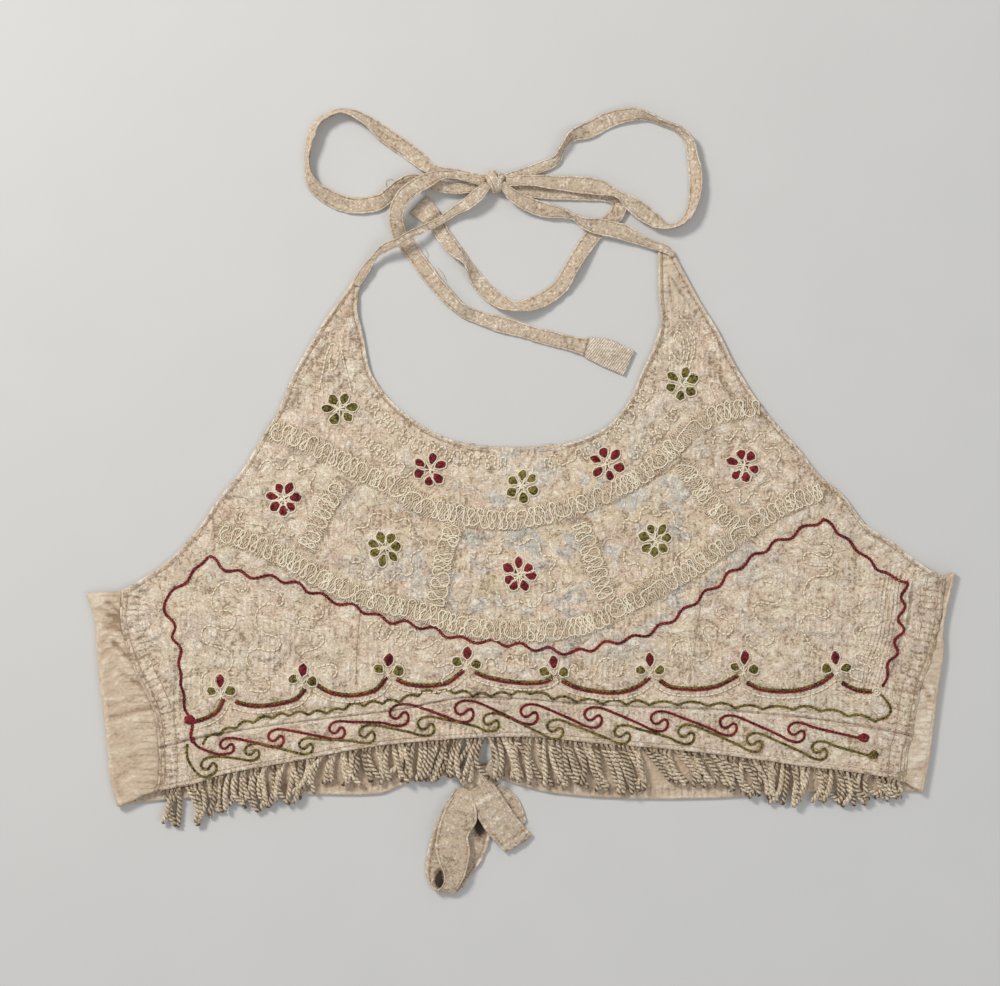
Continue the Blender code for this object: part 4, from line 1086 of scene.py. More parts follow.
def build_bodice():
    left, neck, right, seam_rows, armhole_rows, shoulder_rows = 15, 3, 17, 6, 6, 13
    middle = joined(
        (line(SHOULDER_LEFT[0], NECK_LEFT[0]), left),
        (line(NECK_LEFT[0], NECK_RIGHT[0]), neck),
        (line(NECK_RIGHT[0], SHOULDER_RIGHT[0]), right),
    )
    bottom = edge_route(profile(BAND_SEAM), *seam_ends(BAND_SEAM), SEAM_HALF_GAP)
    seam_left = seam_route(SEAM_LEFT, bottom(0.0)[1], SEAM_LEFT[-1][1], SEAM_HALF_GAP)
    seam_right = seam_route(SEAM_RIGHT, bottom(1.0)[1], SEAM_RIGHT[-1][1], -SEAM_HALF_GAP)
    body = patch(
        bottom,
        middle,
        joined((seam_left, seam_rows), (route(ARMHOLE_LEFT), armhole_rows)),
        joined((seam_right, seam_rows), (route(ARMHOLE_RIGHT), armhole_rows)),
    )
    sheets = [((left + neck + right) * FINENESS, (seam_rows + armhole_rows) * FINENESS, on_front(body))]
    for columns, low, high in ((left, SHOULDER_LEFT, NECK_LEFT), (right, NECK_RIGHT, SHOULDER_RIGHT)):
        shoulder = patch(line(low[0], high[0]), line(low[-1], high[-1]), route(low), route(high))
        sheets.append((columns * FINENESS, shoulder_rows * FINENESS, on_front(shoulder)))
    return cloth("bodice_front", sheets, "cotton", FRONT_WALL, -1.0)


def build_hem_band():
    hem = edge_route(front_hem_at, *seam_ends(FRONT_HEM))
    top = edge_route(profile(BAND_SEAM), *seam_ends(BAND_SEAM), -SEAM_HALF_GAP)
    left = seam_route(SEAM_LEFT, hem(0.0)[1], top(0.0)[1], SEAM_HALF_GAP)
    right = seam_route(SEAM_RIGHT, hem(1.0)[1], top(1.0)[1], -SEAM_HALF_GAP)
    place = on_front(patch(hem, top, left, right))
    return cloth("hem_band_front", [(260, 16, place)], "cotton", FRONT_WALL, -1.0)


def build_back(name, seam, fold, hem, opening, outward):
    """A back panel: from its seam on the front, round the fold at the side, to the opening at the middle."""
    front_columns, fold_columns, back_columns = 16, 16, 64
    columns = front_columns + fold_columns + back_columns
    band_y = profile(BAND_SEAM)(seam[0][0])
    seam_at = joined((seam_route(seam, seam[0][1], band_y), 2), (seam_route(seam, band_y, seam[-1][1]), 6))
    fold_at, hem_at = route(fold), profile(hem)
    under = BACK_WALL / 2
    flat = patch(
        edge_route(hem_at, fold[0][0], opening[0][0]),
        edge_route(back_top_at, fold[-1][0], opening[-1][0]),
        fold_at,
        route(opening),
    )

    def place(u, v):
        step = u * columns
        fold_x, fold_y = fold_at(v)
        over = front_under(fold_x, fold_y) + under
        radius = (over - under) / 2
        if step <= front_columns:
            share = step / front_columns
            seam_x, seam_y = seam_at(v)
            x = seam_x + outward * SEAM_HALF_GAP
            x += (fold_x - outward * radius - x) * share
            y = seam_y + (fold_y - seam_y) * share
            spot = Vector((x, y, 0.0))
            pulled = 1 + 1.6 * bell(y + 60, 16)
            crease = 0.42 * pulled * soft_noise((x + 0.9 * y) / 17, (y - 0.6 * x) / 6, outward)
            crease += 0.3 * noise.noise(spot / 5)
            z = front_under(x, y) * (1 - share) + (over - under) * share + under
            z += 0.3 + crease * ease(share, 0.0, 0.1)
            from_seam = abs(x - seam_x)
            away, _, deep = side_creases.near(x, y)
            sunk, beside_it = deep * bell(away, 1.3), deep * bell(away - 2.6, 1.3)
            z -= 0.5 * (sunk - 0.5 * beside_it) * ease(share, 0.0, 0.1)
            gathers = 0.8 * ease(from_seam, 0.0, 1.0) * (1 - ease(from_seam, 6.0, 14.0))
            # Painted light and shade of the crease noise, painted shade along the seam and in the creases,
            # painted highlight beside them; the right panel is lighter throughout
            painted_light_and_tone = 1.3 * crease - 0.35 * bell(from_seam, 1.2) + max(0.35 * outward, 0.0)
            painted_light_and_tone = painted_light_and_tone - 1.5 * sunk + 0.5 * beside_it
            return x, y, z, painted_light_and_tone, 0.0, gathers, y
        if step <= front_columns + fold_columns:
            turn = math.pi * (step - front_columns) / fold_columns
            x = fold_x + outward * radius * (math.sin(turn) - 1)
            z = under + radius * (1 + math.cos(turn)) + 0.3 * (1 + math.cos(turn)) / 2
            # Painted highlight along the top of the fold
            return x, fold_y, max(z, BACK_LOWEST), 0.2 * (1 + math.cos(turn))
        share = (step - front_columns - fold_columns) / back_columns
        x, y = flat(share, v)
        from_hem = abs(y - hem_at(x))
        roll = 0.25 * bell(from_hem - 0.8, 1.0) - 0.2 * bell(from_hem - 5.4, 0.8)
        # Painted highlight on the rolled hem, painted shade along its stitching
        painted_light_and_tone = 0.5 * bell(from_hem - 0.6, 0.8) - 0.5 * bell(from_hem - 5.4, 0.7)
        wave = 0.12 * soft_noise(x / 7, y / 7, 4.0)
        gathers = ease(from_hem, 0.5, 2.0) * (1 - ease(from_hem, 5.0, 9.0))
        z = max(under + roll + wave, BACK_LOWEST)
        return x - outward * radius * (1 - share), y, z, painted_light_and_tone, 0.0, gathers, x

    return cloth(name, [(columns, 64, place)], "twill", BACK_WALL - 0.1, 0.0)


def on_top(x, y, lift, thick=1.0):
    """A thread's point this far above the front, with its share of the full thickness."""
    return x, y, front_top(x, y) + lift, thick


# A chain stitch's loop: share of its length, and of its half width
CHAIN_LOOP = ((0.0, 0.15), (0.35, 0.8), (0.8, 1.0), (1.12, 0.0), (0.8, -1.0), (0.35, -0.8), (0.0, -0.15))


def chain(points, half_width, lift, pitch=LINE_PITCH):
    """Chain stitches along a line: each a drop-shaped loop of thread that the next one holds down."""
    points = evenly(points, pitch)
    loops = []
    for (x0, y0, _), (x1, y1, _) in zip(points, points[1:]):
        ahead = Vector((x1 - x0, y1 - y0))
        side = Vector((-ahead.y, ahead.x)).normalized() * half_width * draws.uniform(0.85, 1.15)
        loop = []
        for share, out in CHAIN_LOOP:
            x, y = x0 + ahead.x * share + side.x * out, y0 + ahead.y * share + side.y * out
            loop.append(on_top(x, y, lift * (0.6 + 0.4 * share)))
        loops.append(loop)
    return loops


def running(points, pitch, share_on, lift):
    """Short straight stitches along a line, with the cloth showing between them."""
    points = evenly(points, pitch)
    stitches = []
    for (x0, y0, _), (x1, y1, _) in zip(points, points[1:]):
        stitch = []
        for share, up in ((0.0, -0.1), (0.2, 1.0), (0.8, 1.0), (1.0, -0.1)):
            x, y = x0 + (x1 - x0) * share * share_on, y0 + (y1 - y0) * share * share_on
            stitch.append(on_top(x, y, lift * up, 0.75 + 0.25 * max(up, 0)))
        stitches.append(stitch)
    return stitches


# A petal's outline: share of its length, and of its half width
PETAL_SHAPE = ((0.0, 0.22), (0.2, 0.62), (0.5, 1.0), (0.8, 0.88), (1.0, 0.42))


def petal_threads(x, y, heading, start, length, half_width):
    """A satin petal: threads side by side from its narrow inner end to its round outer end."""
    cos, sin = math.cos(heading), math.sin(heading)
    count = round(2 * half_width / 0.52)
    strands = []
    for k in range(count):
        side = 2 * (k + 0.5) / count - 1
        strand = []
        near, far = draws.uniform(-0.35, 0.35), draws.uniform(-0.45, 0.35)
        for share, wide in PETAL_SHAPE:
            reach = start + length * (share if share < 1 else 1 - 0.16 * side * side)
            reach += near * (1 - share) + far * share
            out = side * half_width * wide
            px, py = x + cos * reach - sin * out, y + sin * reach + cos * out
            dome = math.sin(math.pi * (0.06 + 0.88 * share)) * (1 - 0.5 * side * side)
            strand.append(on_top(px, py, 0.1 + 0.55 * dome, 0.85 if share in (0.0, 1.0) else 1.0))
        strands.append(strand)
    return strands


def petal_outline(x, y, heading, start, length, half_width):
    cos, sin = math.cos(heading), math.sin(heading)
    one_side = [(share, half_width * wide + 0.5) for share, wide in PETAL_SHAPE]
    other_side = [(share, -out) for share, out in reversed(one_side)]
    both = [(-0.1, 0.0), *one_side, (1.12, 0.0), *other_side, (-0.1, 0.0)]
    loop = []
    for share, out in both:
        reach, out = start + length * share + draws.uniform(-0.3, 0.3), out * draws.uniform(0.88, 1.26)
        px, py = x + cos * reach - sin * out, y + sin * reach + cos * out
        loop.append(on_top(px, py, 0.36 + draws.uniform(0, 0.2), draws.uniform(0.8, 1.2)))
    return loop


def stroke(x0, y0, x1, y1, lift=0.4):
    """One straight stitch."""
    spots = [(x0 + (x1 - x0) * share, y0 + (y1 - y0) * share, share) for share in (0.0, 0.25, 0.75, 1.0)]
    return [on_top(x, y, lift * (0.3 + 3.2 * share * (1 - share))) for x, y, share in spots]


def embroider_flowers():
    """Threads of the red and olive petals, and the cream stitches round and between them."""
    filled = {"red": [], "olive": []}
    outlines = []

    def petal(colour, x, y, heading, start, length, half):
        filled[colour].extend(petal_threads(x, y, heading, start, length, half))
        outlines.append(petal_outline(x, y, heading, start, length, half))

    def chord(x, y, size, lift):
        """A stitch across a flower's middle."""
        turn = draws.uniform(0, math.tau)
        back = turn + math.pi + draws.uniform(-0.7, 0.7)
        near, far = size * draws.uniform(0.4, 1.0), size * draws.uniform(0.6, 1.0)
        return stroke(
            x + near * math.cos(turn), y + near * math.sin(turn),
            x + far * math.cos(back), y + far * math.sin(back), lift,
        )

    for colour, places in (("red", RED_FLOWERS), ("olive", OLIVE_FLOWERS)):
        for x, y in places:
            petals = draws.choice((6, 6, 7))
            first = draws.uniform(0, math.tau)
            for k in range(petals):
                heading = first + math.tau * (k + draws.uniform(-0.16, 0.16)) / petals
                length, half = draws.uniform(4.6, 6.0), draws.uniform(1.6, 2.2)
                petal(colour, x, y, heading, draws.uniform(2.9, 3.6), length, half)
                between = heading + math.pi / petals + draws.uniform(-0.15, 0.15)
                cos, sin = math.cos(between), math.sin(between)
                outlines.append(stroke(x + cos * 0.4, y + sin * 0.4, x + cos * 4.6, y + sin * 4.6, 0.5))
            outlines.extend(chord(x, y, 3.6, draws.uniform(0.4, 0.8)) for _ in range(6))
            filled[colour].extend(chord(x, y, 3.4, 0.35) for _ in range(3))
    for x, y in BUDS:
        tilt = draws.uniform(-0.2, 0.2)
        base = y - 4.2
        for colour, heading, start, lengths, halves in BUD_PETALS:
            turn = math.radians(heading) + tilt
            petal(colour, x, base, turn, start, draws.uniform(*lengths), draws.uniform(*halves))
        for heading, reach in BUD_STITCHES:
            turn = math.radians(heading) + tilt
            outlines.append(stroke(x, base, x + math.cos(turn) * reach, base + math.sin(turn) * reach))
    for colour, leaves in (("red", RED_LEAVES), ("olive", OLIVE_LEAVES)):
        for x, y, heading, length, half in leaves:
            filled[colour].extend(petal_threads(x, y, math.radians(heading), 0.0, length, half))
    for radius in (0.8, 2.0):
        ring = []
        for k in range(13):
            turn = math.tau * k / 12
            px, py = ROSETTE[0] + radius * math.cos(turn), ROSETTE[1] + radius * math.sin(turn)
            ring.append(on_top(px, py, 0.4, 1.1))
        outlines.append(ring)
    return filled, outlines


def hatched(rows, lane, step, reach):
    """Short stitches across a band, side by side along one lane of it."""
    points = beside(evenly(rows, step), lambda along: lane)
    found = []
    for (x0, y0, *_), (x1, y1, *_) in zip(points, points[1:]):
        turn = math.atan2(y1 - y0, x1 - x0) + math.pi / 2 + draws.gauss(0, 0.5)
        half = reach / 2 * draws.uniform(0.55, 1.1)
        cos, sin = math.cos(turn) * half, math.sin(turn) * half
        found.append(stroke(x0 - cos, y0 - sin, x0 + cos, y0 + sin, 0.28))
    return found


def couched(points, lift):
    """A cord laid on the front along a line."""
    return [on_top(x, y, lift + 0.1 * math.sin(k * 0.9)) for k, (x, y) in enumerate(points)]


def clear_of_flowers(x, y):
    """Whether a point lies outside every flower and bud."""
    flowers = [(spot[:2], FLOWER_REACH) for spot in (*OLIVE_FLOWERS, *RED_FLOWERS)]
    buds = [((bud[0], bud[1] + 3.5), BUD_REACH) for bud in BUDS]
    return all(math.dist((x, y), spot) > reach for spot, reach in (*flowers, *buds))


def embroider():
    """Every stitched line and filled shape of the front, a few pieces for each colour of thread."""
    filled, outlines = embroider_flowers()
    red = [stitch for rows in red_lines for stitch in chain(rows, 0.46, 0.34)]
    olive = [stitch for rows in olive_lines for stitch in chain(rows, 0.42, 0.32)]
    red += chain(red_scroll, 0.4, 0.32, SCROLL_PITCH)
    olive += chain(olive_scroll, 0.38, 0.32, SCROLL_PITCH)
    for rows in SWAGS:
        points = evenly(rows, 1.0)
        red += chain(beside(points, lambda along: -0.4), 0.46, 0.42)
        olive += chain(beside(points, lambda along: 0.62), 0.36, 0.22)
    made = [
        threads("red_chain_stitch", red, 0.38, "red"),
        threads("olive_chain_stitch", olive, 0.36, "olive"),
        threads("red_satin_petals", filled["red"], 0.34, "red"),
        threads("olive_satin_petals", filled["olive"], 0.34, "olive"),
        threads("cream_petal_outlines", outlines, 0.33, "cream"),
    ]
    cream = [stitch for rows in cream_lines for stitch in running(rows, CREAM_PITCH, 0.82, 0.4)]
    cream = [stitch for stitch in cream if clear_of_flowers(*stitch[1][:2])]
    made.append(threads("cream_meander_stitches", cream, 0.47, "cream"))
    for name, bands in (("upper", [LACE_UPPER]), ("lower", [LACE_LOWER]), ("links", LACE_LINKS)):
        cords, ribs = [], []
        for seed, rows in enumerate(bands):
            bend, swing, uneven = LACE_CORD
            cords.append(couched(wander(rows, bend, swing, seed + len(name), uneven), 0.42))
            for lane in LACE_LANES:
                ribs.extend(hatched(rows, lane, 1.15, 3.6))
        made.append(threads(f"lace_cord_{name}", cords, 0.38, "cream"))
        made.append(threads(f"lace_ribs_{name}", ribs, 0.3, "beige"))
    sewn = []
    for rows, side in ((neck_edge, -1), (armhole_left_edge, -1), (armhole_right_edge, 1), (FRONT_HEM, 1)):
        edge = beside(evenly(rows, 2.0), lambda along, offset=side * EDGE_STITCHING: offset)
        sewn.extend(running(edge, SEWING_PITCH, 0.86, 0.1))
    for points in (*side_lines, evenly(DART_LEFT, 1.0), evenly(DART_RIGHT, 1.0)):
        sewn.extend(running(points, SEWING_PITCH, 0.94, 0.12))
    made.append(threads("seam_stitching", sewn, 0.25, "tan"))
    return made


def lies_at(x, y, radius):
    """Height of a fringe strand's middle where it lies on the back, on the back knot or on the floor."""
    hem_y = back_hem_left_at(x) if x < BACK_KNOT[0] else back_hem_right_at(x)
    on_back = ease(y - hem_y, -2.6, 0.4)
    knot_x, knot_y, half_x, half_y, high = BACK_KNOT
    over_knot = 1 - ease(math.hypot((x - knot_x) / (half_x + 5), (y - knot_y) / (half_y + 5)), 0.7, 1.25)
    return max(0.3, on_back * (BACK_WALL + 0.45), over_knot * (high + 0.6)) + radius


def build_fringe():
    """Two-ply twisted strands under wrapped tops, which hang from a cord inside the front's hem."""
    lean_at, tip_at = profile(FRINGE_LEANS), profile(FRINGE_TIPS)
    start, end = FRINGE_ENDS
    plies, wraps, middles, shades = [], [], [], []
    for i in range(STRANDS):
        x = start + (end - start) * (i + 0.3) / STRANDS
        top = front_hem_at(x) + 0.6
        tip_y = tip_at(x) + draws.uniform(-1.6, 2.8)
        lean = lean_at(x) + draws.gauss(0, 3.4)
        bow, curl = draws.uniform(-3.2, 3.2), draws.gauss(0, 2.2)
        shade = draws.uniform(-0.12, 0.26)
        rows = []
        for share in (0.0, 0.14, 0.4, 0.7, 1.0):
            px = x + lean * max(share - 0.1, 0) / 0.9 + bow * math.sin(math.pi * share) + curl * share**6
            rows.append((px, top + (tip_y - top) * share))
        along, length = path(rows)
        count = max(round(length / 0.75), 14)
        layer = draws.choice((0.0, 0.4, 1.0, 1.7))
        first = draws.uniform(0, math.tau)
        hangs = front_under(x, top) + 0.4
        wrap = []
        for share in (0.0, 0.3, 0.7, 1.0):
            px, py = along(share * WRAP_LENGTH / length)[:2]
            wrap.append((px, py, hangs + 0.15 * math.sin(math.pi * share), 1.0))
        wraps.append(wrap)
        for ply in (0, math.pi):
            strand = []
            for k in range(count + 1):
                share = k / count
                px, py = along(share)[:2]
                after, before = along(min(share + 0.02, 1.0)), along(max(share - 0.02, 0.0))
                across = Vector((after[1] - before[1], before[0] - after[0])).normalized()
                open_end = math.sin(math.pi * min(max((1 - share) * length / 2.4, 0.0), 0.5))
                apart = PLY_APART * (0.3 + 0.7 * ease(share * length, 2.0, 5.5)) * open_end
                turn = first + ply + math.tau * share * length / TWIST
                lies = lies_at(px, py, PLY + apart) + layer * ease(share, 0.15, 0.5)
                z = hangs + (lies - hangs) * ease(share * length, 2.0, 8.0)
                out = apart * math.cos(turn)
                strand.append((px + across.x * out, py + across.y * out, z + apart * math.sin(turn), 1.0))
                middles.append(Vector((px, py, z)) * MM)
                shades.append(shade)
            plies.append(strand)
    cord = [
        (x, y + 1.6, front_under(x, y + 1.6) + 0.35, 1.0)
        for x, y, _ in evenly(FRONT_HEM, 3.0) if start < x < end
    ]
    threads("fringe_wrapped_tops", [*wraps, cord], 0.9, "strip", sides=6)
    fringe = threads("fringe_strands", plies, PLY, "fringe", sides=6)
    ropes = kdtree.KDTree(len(middles))
    for i, spot in enumerate(middles):
        ropes.insert(spot, i)
    ropes.balance()
    # Painted shade between the plies and where strands lie close: darker nearer a strand's middle, and each
    # strand a little darker or lighter at random
    painted_light_and_tone = fringe.data.attributes.new("painted_light_and_tone", "FLOAT", "POINT")
    reach = (PLY + PLY_APART) * MM
    found = [ropes.find(vert.co)[1:] for vert in fringe.data.vertices]
    painted_light_and_tone.data.foreach_set("value", [far / reach - shades[nearest] for nearest, far in found])
    return fringe


class Tie:
    """A neck tie's stretch: its samples, each with the room that it takes and the height that it lies at."""

    def __init__(self, rows):
        self.along, self.length = path(rows)
        count = round(self.length / TIE_STEP)
        self.points = [self.along(i / count) for i in range(count + 1)]
        self.heights = [0.0] * len(self.points)

    def half_seen(self, i):
        _, _, width, roll = self.points[i]
        return width / 2 * math.cos(math.radians(roll)) + TIE_WALL / 2

    def half_high(self, i):
        _, _, width, roll = self.points[i]
        return width / 2 * abs(math.sin(math.radians(roll))) + TIE_WALL / 2

    def discs(self, first, last):
        """x, y, radius and top of the samples from first to last."""
        return [
            (*self.points[i][:2], self.half_seen(i) + TIE_SIDE_ROOM, self.heights[i] + 2 * self.half_high(i))
            for i in range(first, last)
        ]

    def lay(self, pile):
        """Sets each sample's underside just above what already lies there, eased in and out."""
        count = len(self.points)
        third = count // 3
        for own_from, own in ((count, []), (2 * third, range(third))):
            crossed = [*pile, *(self.discs(0, third) if own else [])]
            need = []
            for i, point in enumerate(self.points):
                under = crossed if i >= own_from else pile
                reach = self.half_seen(i)
                tops = [top for x, y, r, top in under if math.dist(point[:2], (x, y)) < r + reach]
                need.append(max(tops) + TIE_TOP_ROOM if tops else 0.0)
            peaks = [max(need[max(0, i - TIE_EASE) : i + TIE_EASE + 1]) for i in range(count)]
            for i in range(count):
                near = peaks[max(0, i - TIE_EASE) : i + TIE_EASE + 1]
                self.heights[i] = sum(near) / len(near)
        pile.extend(self.discs(0, count))

    def build(self, name, tab, seed):
        """The strip with stitched hems, and a plain folded tab of this length at its end."""
        count = len(self.points) - 1
        middles = [(self.heights[i] + self.half_high(i),) for i in range(count + 1)]
        middle_at = smooth_curve([i / count for i in range(count + 1)], middles)

        def place(u, v):
            x, y, width, roll = self.along(u)
            heading = ahead_of(self.along(max(u - 0.004, 0.0)), self.along(min(u + 0.004, 1.0)))
            from_tab = (u - 1) * self.length + tab
            on_tab = ease(from_tab, -0.5, 0.5) if tab else 0.0
            distance, side = u * self.length, 2 * v - 1
            worn = 1 - on_tab
            ragged = 0.3 * soft_noise(distance / 3, math.copysign(3, side) + seed, 0)
            pinched = 1.1 * soft_noise(distance / 13, seed, 5)
            narrow = 1 - TIE_NARROWING * worn + 0.09 * pinched * worn
            reach = side * (width / 2 * narrow + ragged * worn)
            roll += 16 * soft_noise(distance / 17, seed, 8) * worn
            cos, sin = direction(roll)
            sway = soft_noise(distance / 5, v * 2.4, seed)
            shown = 0.5 + soft_noise(distance / 6, v * 1.6, seed + 4)
            ripple = math.sin(math.tau * distance / 2.6 + 6.0 * sway) * (shown * min(width / 9, 1.0) ** 2)
            inner = 1 - ease(abs(side), 0.6, 0.84)
            crumple = soft_noise(distance / 2.2, v * 2.6, seed + 9)
            up = (0.3 * ripple * inner + 0.3 * crumple + 0.3 * bell(abs(side) - 0.94, 0.09)) * worn
            up -= 0.26 * bell(abs(side) - 0.76, 0.08) * worn
            seam = bell(from_tab, 0.7) if tab else 0.0
            up += (0.35 + 0.2 * bell(abs(side) - 0.95, 0.06)) * on_tab - 0.4 * seam
            flat = reach * cos - up * sin
            # Painted highlight on the rims and ripple crests, painted shade along the stitching, in the
            # ripple troughs and at the tab's seam
            painted_light_and_tone = (0.7 * bell(abs(side) - 0.97, 0.08) - 0.9 * bell(abs(side) - 0.78, 0.06)) * worn
            painted_light_and_tone += (0.5 * ripple * inner + 0.16 * crumple) * worn - 1.6 * seam
            z = max(middle_at(u)[0] + reach * sin + up * cos, TIE_LOWEST)
            twill = on_tab * ease(tab, 12.0, 20.0)
            return x - heading.y * flat, y + heading.x * flat, z, painted_light_and_tone, twill

        sheets = [(round(self.length / 0.85), 18, place)]
        return cloth(name, sheets, "tie", TIE_WALL - 0.2, 0.0)


def build_wraps(name, x, y, half_x, half_y, high, turns):
    """A knot of bands of cloth over a rounded middle: (heading, shift, width, lift, reach) for each band."""
    sheets = []
    for heading, shift, width, lift, reach in turns:
        cos, sin = direction(heading)
        long, wide = math.hypot(half_x * cos, half_y * sin), math.hypot(half_x * sin, half_y * cos)

        def place(u, v, cos=cos, sin=sin, long=long, wide=wide, band=(heading, shift, width, lift, reach)):
            heading, shift, width, lift, reach = band
            turn = math.pi * (u - 0.5) * 1.3
            fan = 1 - 0.3 * math.cos(turn) ** 2
            side = shift + width * fan * (v - 0.5)
            shrink = math.sqrt(max(1 - min(side / wide, 0.97) ** 2, 0.06))
            out = long * reach * math.sin(turn) * shrink
            z = high * (0.4 + 0.5 * math.cos(turn) * shrink) + lift
            soft = soft_noise(u * 2.2, v * 3.0, heading)
            crumple = soft_noise(u * 9, v * 6, heading)
            rim = abs(2 * v - 1)
            z += 0.3 * soft + 0.15 * crumple - 1.1 * rim**6
            # Painted highlight near the rims and on the rises, painted shade in the hollows and at the bands'
            # edges
            painted_light_and_tone = 0.4 * bell(rim - 0.84, 0.1) + 0.8 * soft + 0.7 * crumple - 1.2 * ease(rim, 0.9, 1.0)
            z = max(z, KNOT_LOWEST)
            return x + cos * out - sin * side, y + sin * out + cos * side, z, painted_light_and_tone

        sheets.append((30, 16, place))
    return cloth(name, sheets, "tie", 0.7, 0.0, weld=0.0001)


def build_back_loop(name, tables):
    """The wide loop: each face of it spans a left and a right edge."""
    sheets = []
    for rows in tables:
        edges_at, length = path([(*left, *right) for left, right in rows])

        def place(u, v, edges_at=edges_at, length=length):
            x0, y0, z0, x1, y1, z1 = edges_at(u)
            spot = Vector((x0, y0, z0)).lerp(Vector((x1, y1, z1)), v)
            side = 2 * v - 1
            crumple = soft_noise(spot.x / 2.6, spot.y / 1.3, 3.0)
            soft = soft_noise(spot.x / 9, spot.y / 3.4, length)
            rim = bell(abs(side) - 0.96, 0.05)
            up = 0.3 * crumple + 0.7 * soft + 0.3 * rim - 0.2 * bell(abs(side) - 0.84, 0.05)
            # Painted highlight on the rims and rises, painted shade along the stitching and in the hollows
            painted_light_and_tone = 0.4 * crumple + 0.5 * soft + 0.8 * rim - 0.9 * bell(abs(side) - 0.84, 0.05) - 0.1
            # Painted shadow in the loop's eye and deep opening, on the surfaces that lie low
            for shadow_x, shadow_y, half_x, half_y in LOOP_SHADOWS:
                inside = bell(math.hypot((spot.x - shadow_x) / half_x, (spot.y - shadow_y) / half_y) ** 2, 1.2)
                painted_light_and_tone -= 6.0 * inside * (1 - ease(spot.z, 2.8, 4.4))
            return spot.x, spot.y, max(spot.z + up, TIE_LOWEST), painted_light_and_tone

        sheets.append((44, 26, place))
    return cloth(name, sheets, "tie", TIE_WALL - 0.3, 0.0)


def build_back_tie(name, rows, across_heading, frayed):
    along, length = path(rows)
    across = Vector((*direction(across_heading), 0))

    def place(u, v):
        x, y, height, width = along(u)
        side = 2 * v - 1
        crumple = soft_noise(u * length / 1.2, v * width / 3.0, 2.0)
        soft = soft_noise(u * length / 3.2, v * width / 8.0, 6.0)
        rim, hem = bell(abs(side) - 0.95, 0.06), bell((1 - u) * length - 5.0, 0.6)
        up = 0.34 * crumple + 0.6 * soft + 0.25 * rim - 0.18 * bell(abs(side) - 0.82, 0.06) - 0.3 * hem
        up -= 0.25 * height * abs(side) ** 3
        # Painted highlight on the rims and rises, painted shade along the stitching and at the hem fold
        painted_light_and_tone = 0.4 * crumple + 0.5 * soft + 0.8 * rim - 0.9 * bell(abs(side) - 0.82, 0.05) - 1.2 * hem
        end = ease(u, 0.8, 1.0) * (frayed * 1.4 * soft_noise(v * 9, 1.0, 0.0) - 1.6 * side**4)
        spot = Vector((x, y, max(height + up, TIE_WALL / 2 + 0.02))) + across * width * side / 2
        return spot.x, spot.y - end, spot.z, painted_light_and_tone

    return cloth(name, [(round(length / 0.9), 18, place)], "tie", TIE_WALL - 0.3, 0.0)


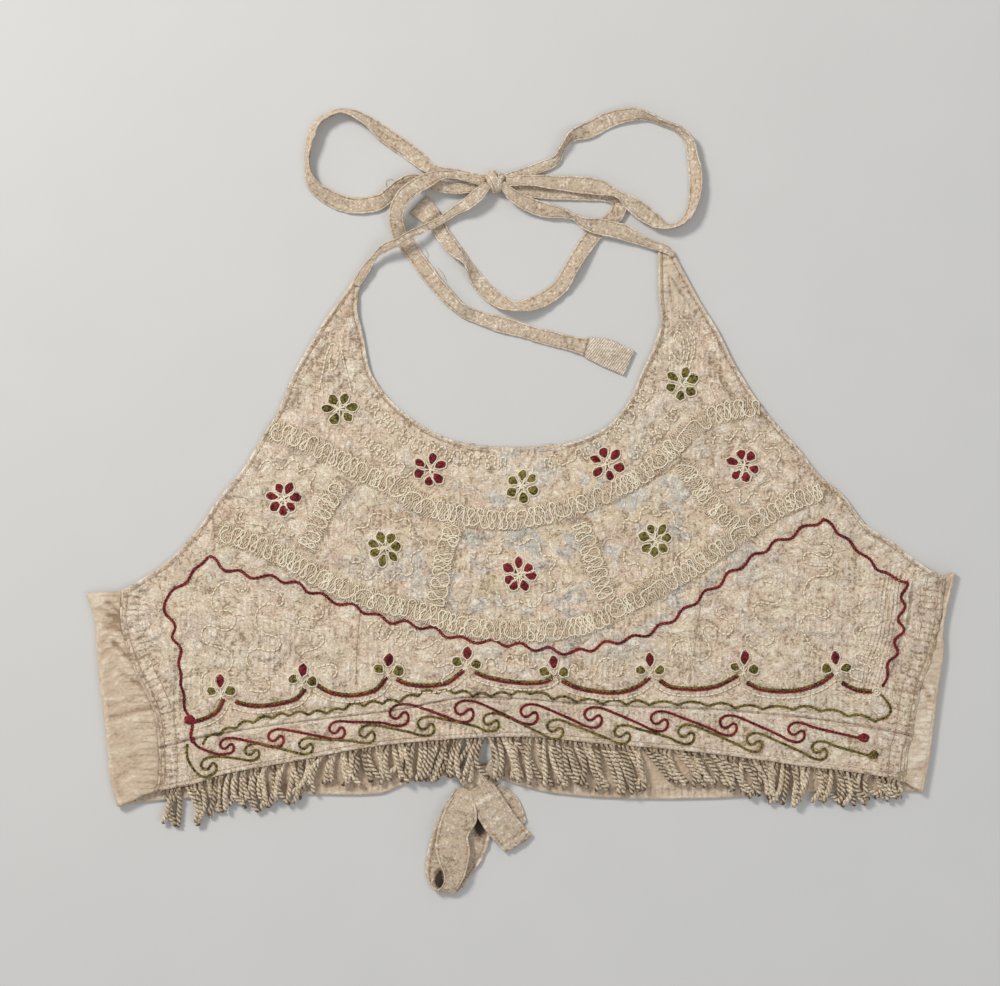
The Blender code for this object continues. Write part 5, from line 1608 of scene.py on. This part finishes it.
def build_all():
    bodice, band = build_bodice(), build_hem_band()
    left = build_back("side_back_left", SEAM_LEFT, FOLD_LEFT, BACK_HEM_LEFT, BACK_OPENING_LEFT, -1)
    right = build_back("side_back_right", SEAM_RIGHT, FOLD_RIGHT, BACK_HEM_RIGHT, BACK_OPENING_RIGHT, 1)
    stitching = embroider()
    fringe = build_fringe()
    nodes = ("front_bodice", "front_hem_band", "back_left", "back_right", "hem_fringe")
    for piece, node in zip((bodice, band, left, right, fringe), nodes):
        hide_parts(node)
    pile = list(STRAP_ENDS)
    for seed, (name, node, rows, tab, wide) in enumerate((
        ("left_tail_strip", "neck_tail_left", TAIL_LEFT, 10.4, 0.0095),
        ("left_bow_loop", "neck_loop_left", LOOP_LEFT, 0.0, 0.0085),
        ("right_tail_strip", "neck_tail_right", TAIL_RIGHT, 23.6, 0.010),
        ("right_bow_loop", "neck_loop_right", LOOP_RIGHT, 0.0, 0.0085),
        ("right_neck_strap", "neck_strap_right", STRAP_RIGHT, 0.0, 0.008),
        ("left_neck_strap", "neck_strap_left", STRAP_LEFT, 0.0, 0.0065),
    )):
        tie = Tie(rows)
        tie.lay(pile)
        piece = tie.build(name, tab, seed * 11.0)
        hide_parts(node)
    ends = [[(x, y, 0.4, 1.0) for x, y, _ in evenly(rows, 0.8)] for rows in LOOSE_ENDS]
    threads("loose_thread_ends", ends, 0.14, "beige")
    knot = build_wraps("bow_knot_wraps", *NECK_KNOT, (
        (0.0, 0.0, 9.5, -1.9, 0.95), (104.0, 2.4, 4.2, -0.5, 1.0), (72.0, -2.2, 4.0, -0.2, 0.95),
        (118.0, -0.2, 4.6, 0.7, 1.0),
    ))
    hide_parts("neck_knot")
    back_knot = build_wraps("back_knot_wraps", *BACK_KNOT, (
        (0.0, 0.0, 14.0, -0.3, 1.0), (42.0, -2.6, 9.0, 0.2, 1.0), (118.0, 1.5, 8.0, 0.5, 1.0),
    ))
    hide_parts("back_tie_knot")
    loop = build_back_loop("back_bow_loop", BACK_LOOP)
    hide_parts("back_tie_loop")
    for name, node, rows, across, frayed, wide in (
        ("back_tail_strip", "back_tie_tail", BACK_TAIL, BACK_TAIL_ACROSS, 1.0, 0.015),
        ("back_tail_underlayer", "back_tie_tail_under", BACK_TAIL_UNDER, BACK_TAIL_UNDER_ACROSS, 0.5, 0.0125),
    ):
        piece = build_back_tie(name, rows, across, frayed)
        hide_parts(node)
        path(rows)[1] * MM


def build_stage():
    bm = bmesh.new()
    bmesh.ops.create_grid(bm, x_segments=1, y_segments=1, size=2.0)
    mesh = bpy.data.meshes.new("floor")
    bm.to_mesh(mesh)
    bm.free()
    floor = bpy.data.objects.new("floor", mesh)
    floor.location.z = FLOOR_Z
    mesh.materials.append(pale_floor())
    bpy.context.scene.collection.objects.link(floor)


def add_light(name, place, size, power, colour):
    light = bpy.data.lights.new(name, "AREA")
    light.shape, light.size, light.energy, light.color = "DISK", size, power, colour
    lamp = bpy.data.objects.new(name, light)
    lamp.location = place
    lamp.rotation_euler = (-Vector(place)).to_track_quat("-Z", "Y").to_euler()
    bpy.context.scene.collection.objects.link(lamp)


def light_and_frame():
    scene = bpy.context.scene
    scene.view_settings.view_transform = "Standard"
    world = bpy.data.worlds.new("studio")
    world.use_nodes = True
    world.node_tree.nodes["Background"].inputs["Color"].default_value = (0.96, 0.98, 1.0, 1.0)
    world.node_tree.nodes["Background"].inputs["Strength"].default_value = 0.44
    scene.world = world
    add_light("key_softbox", (-0.95, 0.95, 1.15), 0.42, 19.0, (1.0, 0.975, 0.94))
    add_light("fill_softbox", (1.0, -0.5, 1.5), 1.0, 4.0, (0.95, 0.98, 1.0))
    camera = bpy.data.cameras.new("camera")
    camera.lens, camera.sensor_width, camera.sensor_fit = LENS, SENSOR, "HORIZONTAL"
    eye = bpy.data.objects.new("camera", camera)
    eye.location = (*(value * MM for value in FRAME_MIDDLE), FRAME_WIDTH * MM * LENS / SENSOR + 0.002)
    scene.collection.objects.link(eye)
    scene.camera = eye


build_stage()
build_all()
light_and_frame()
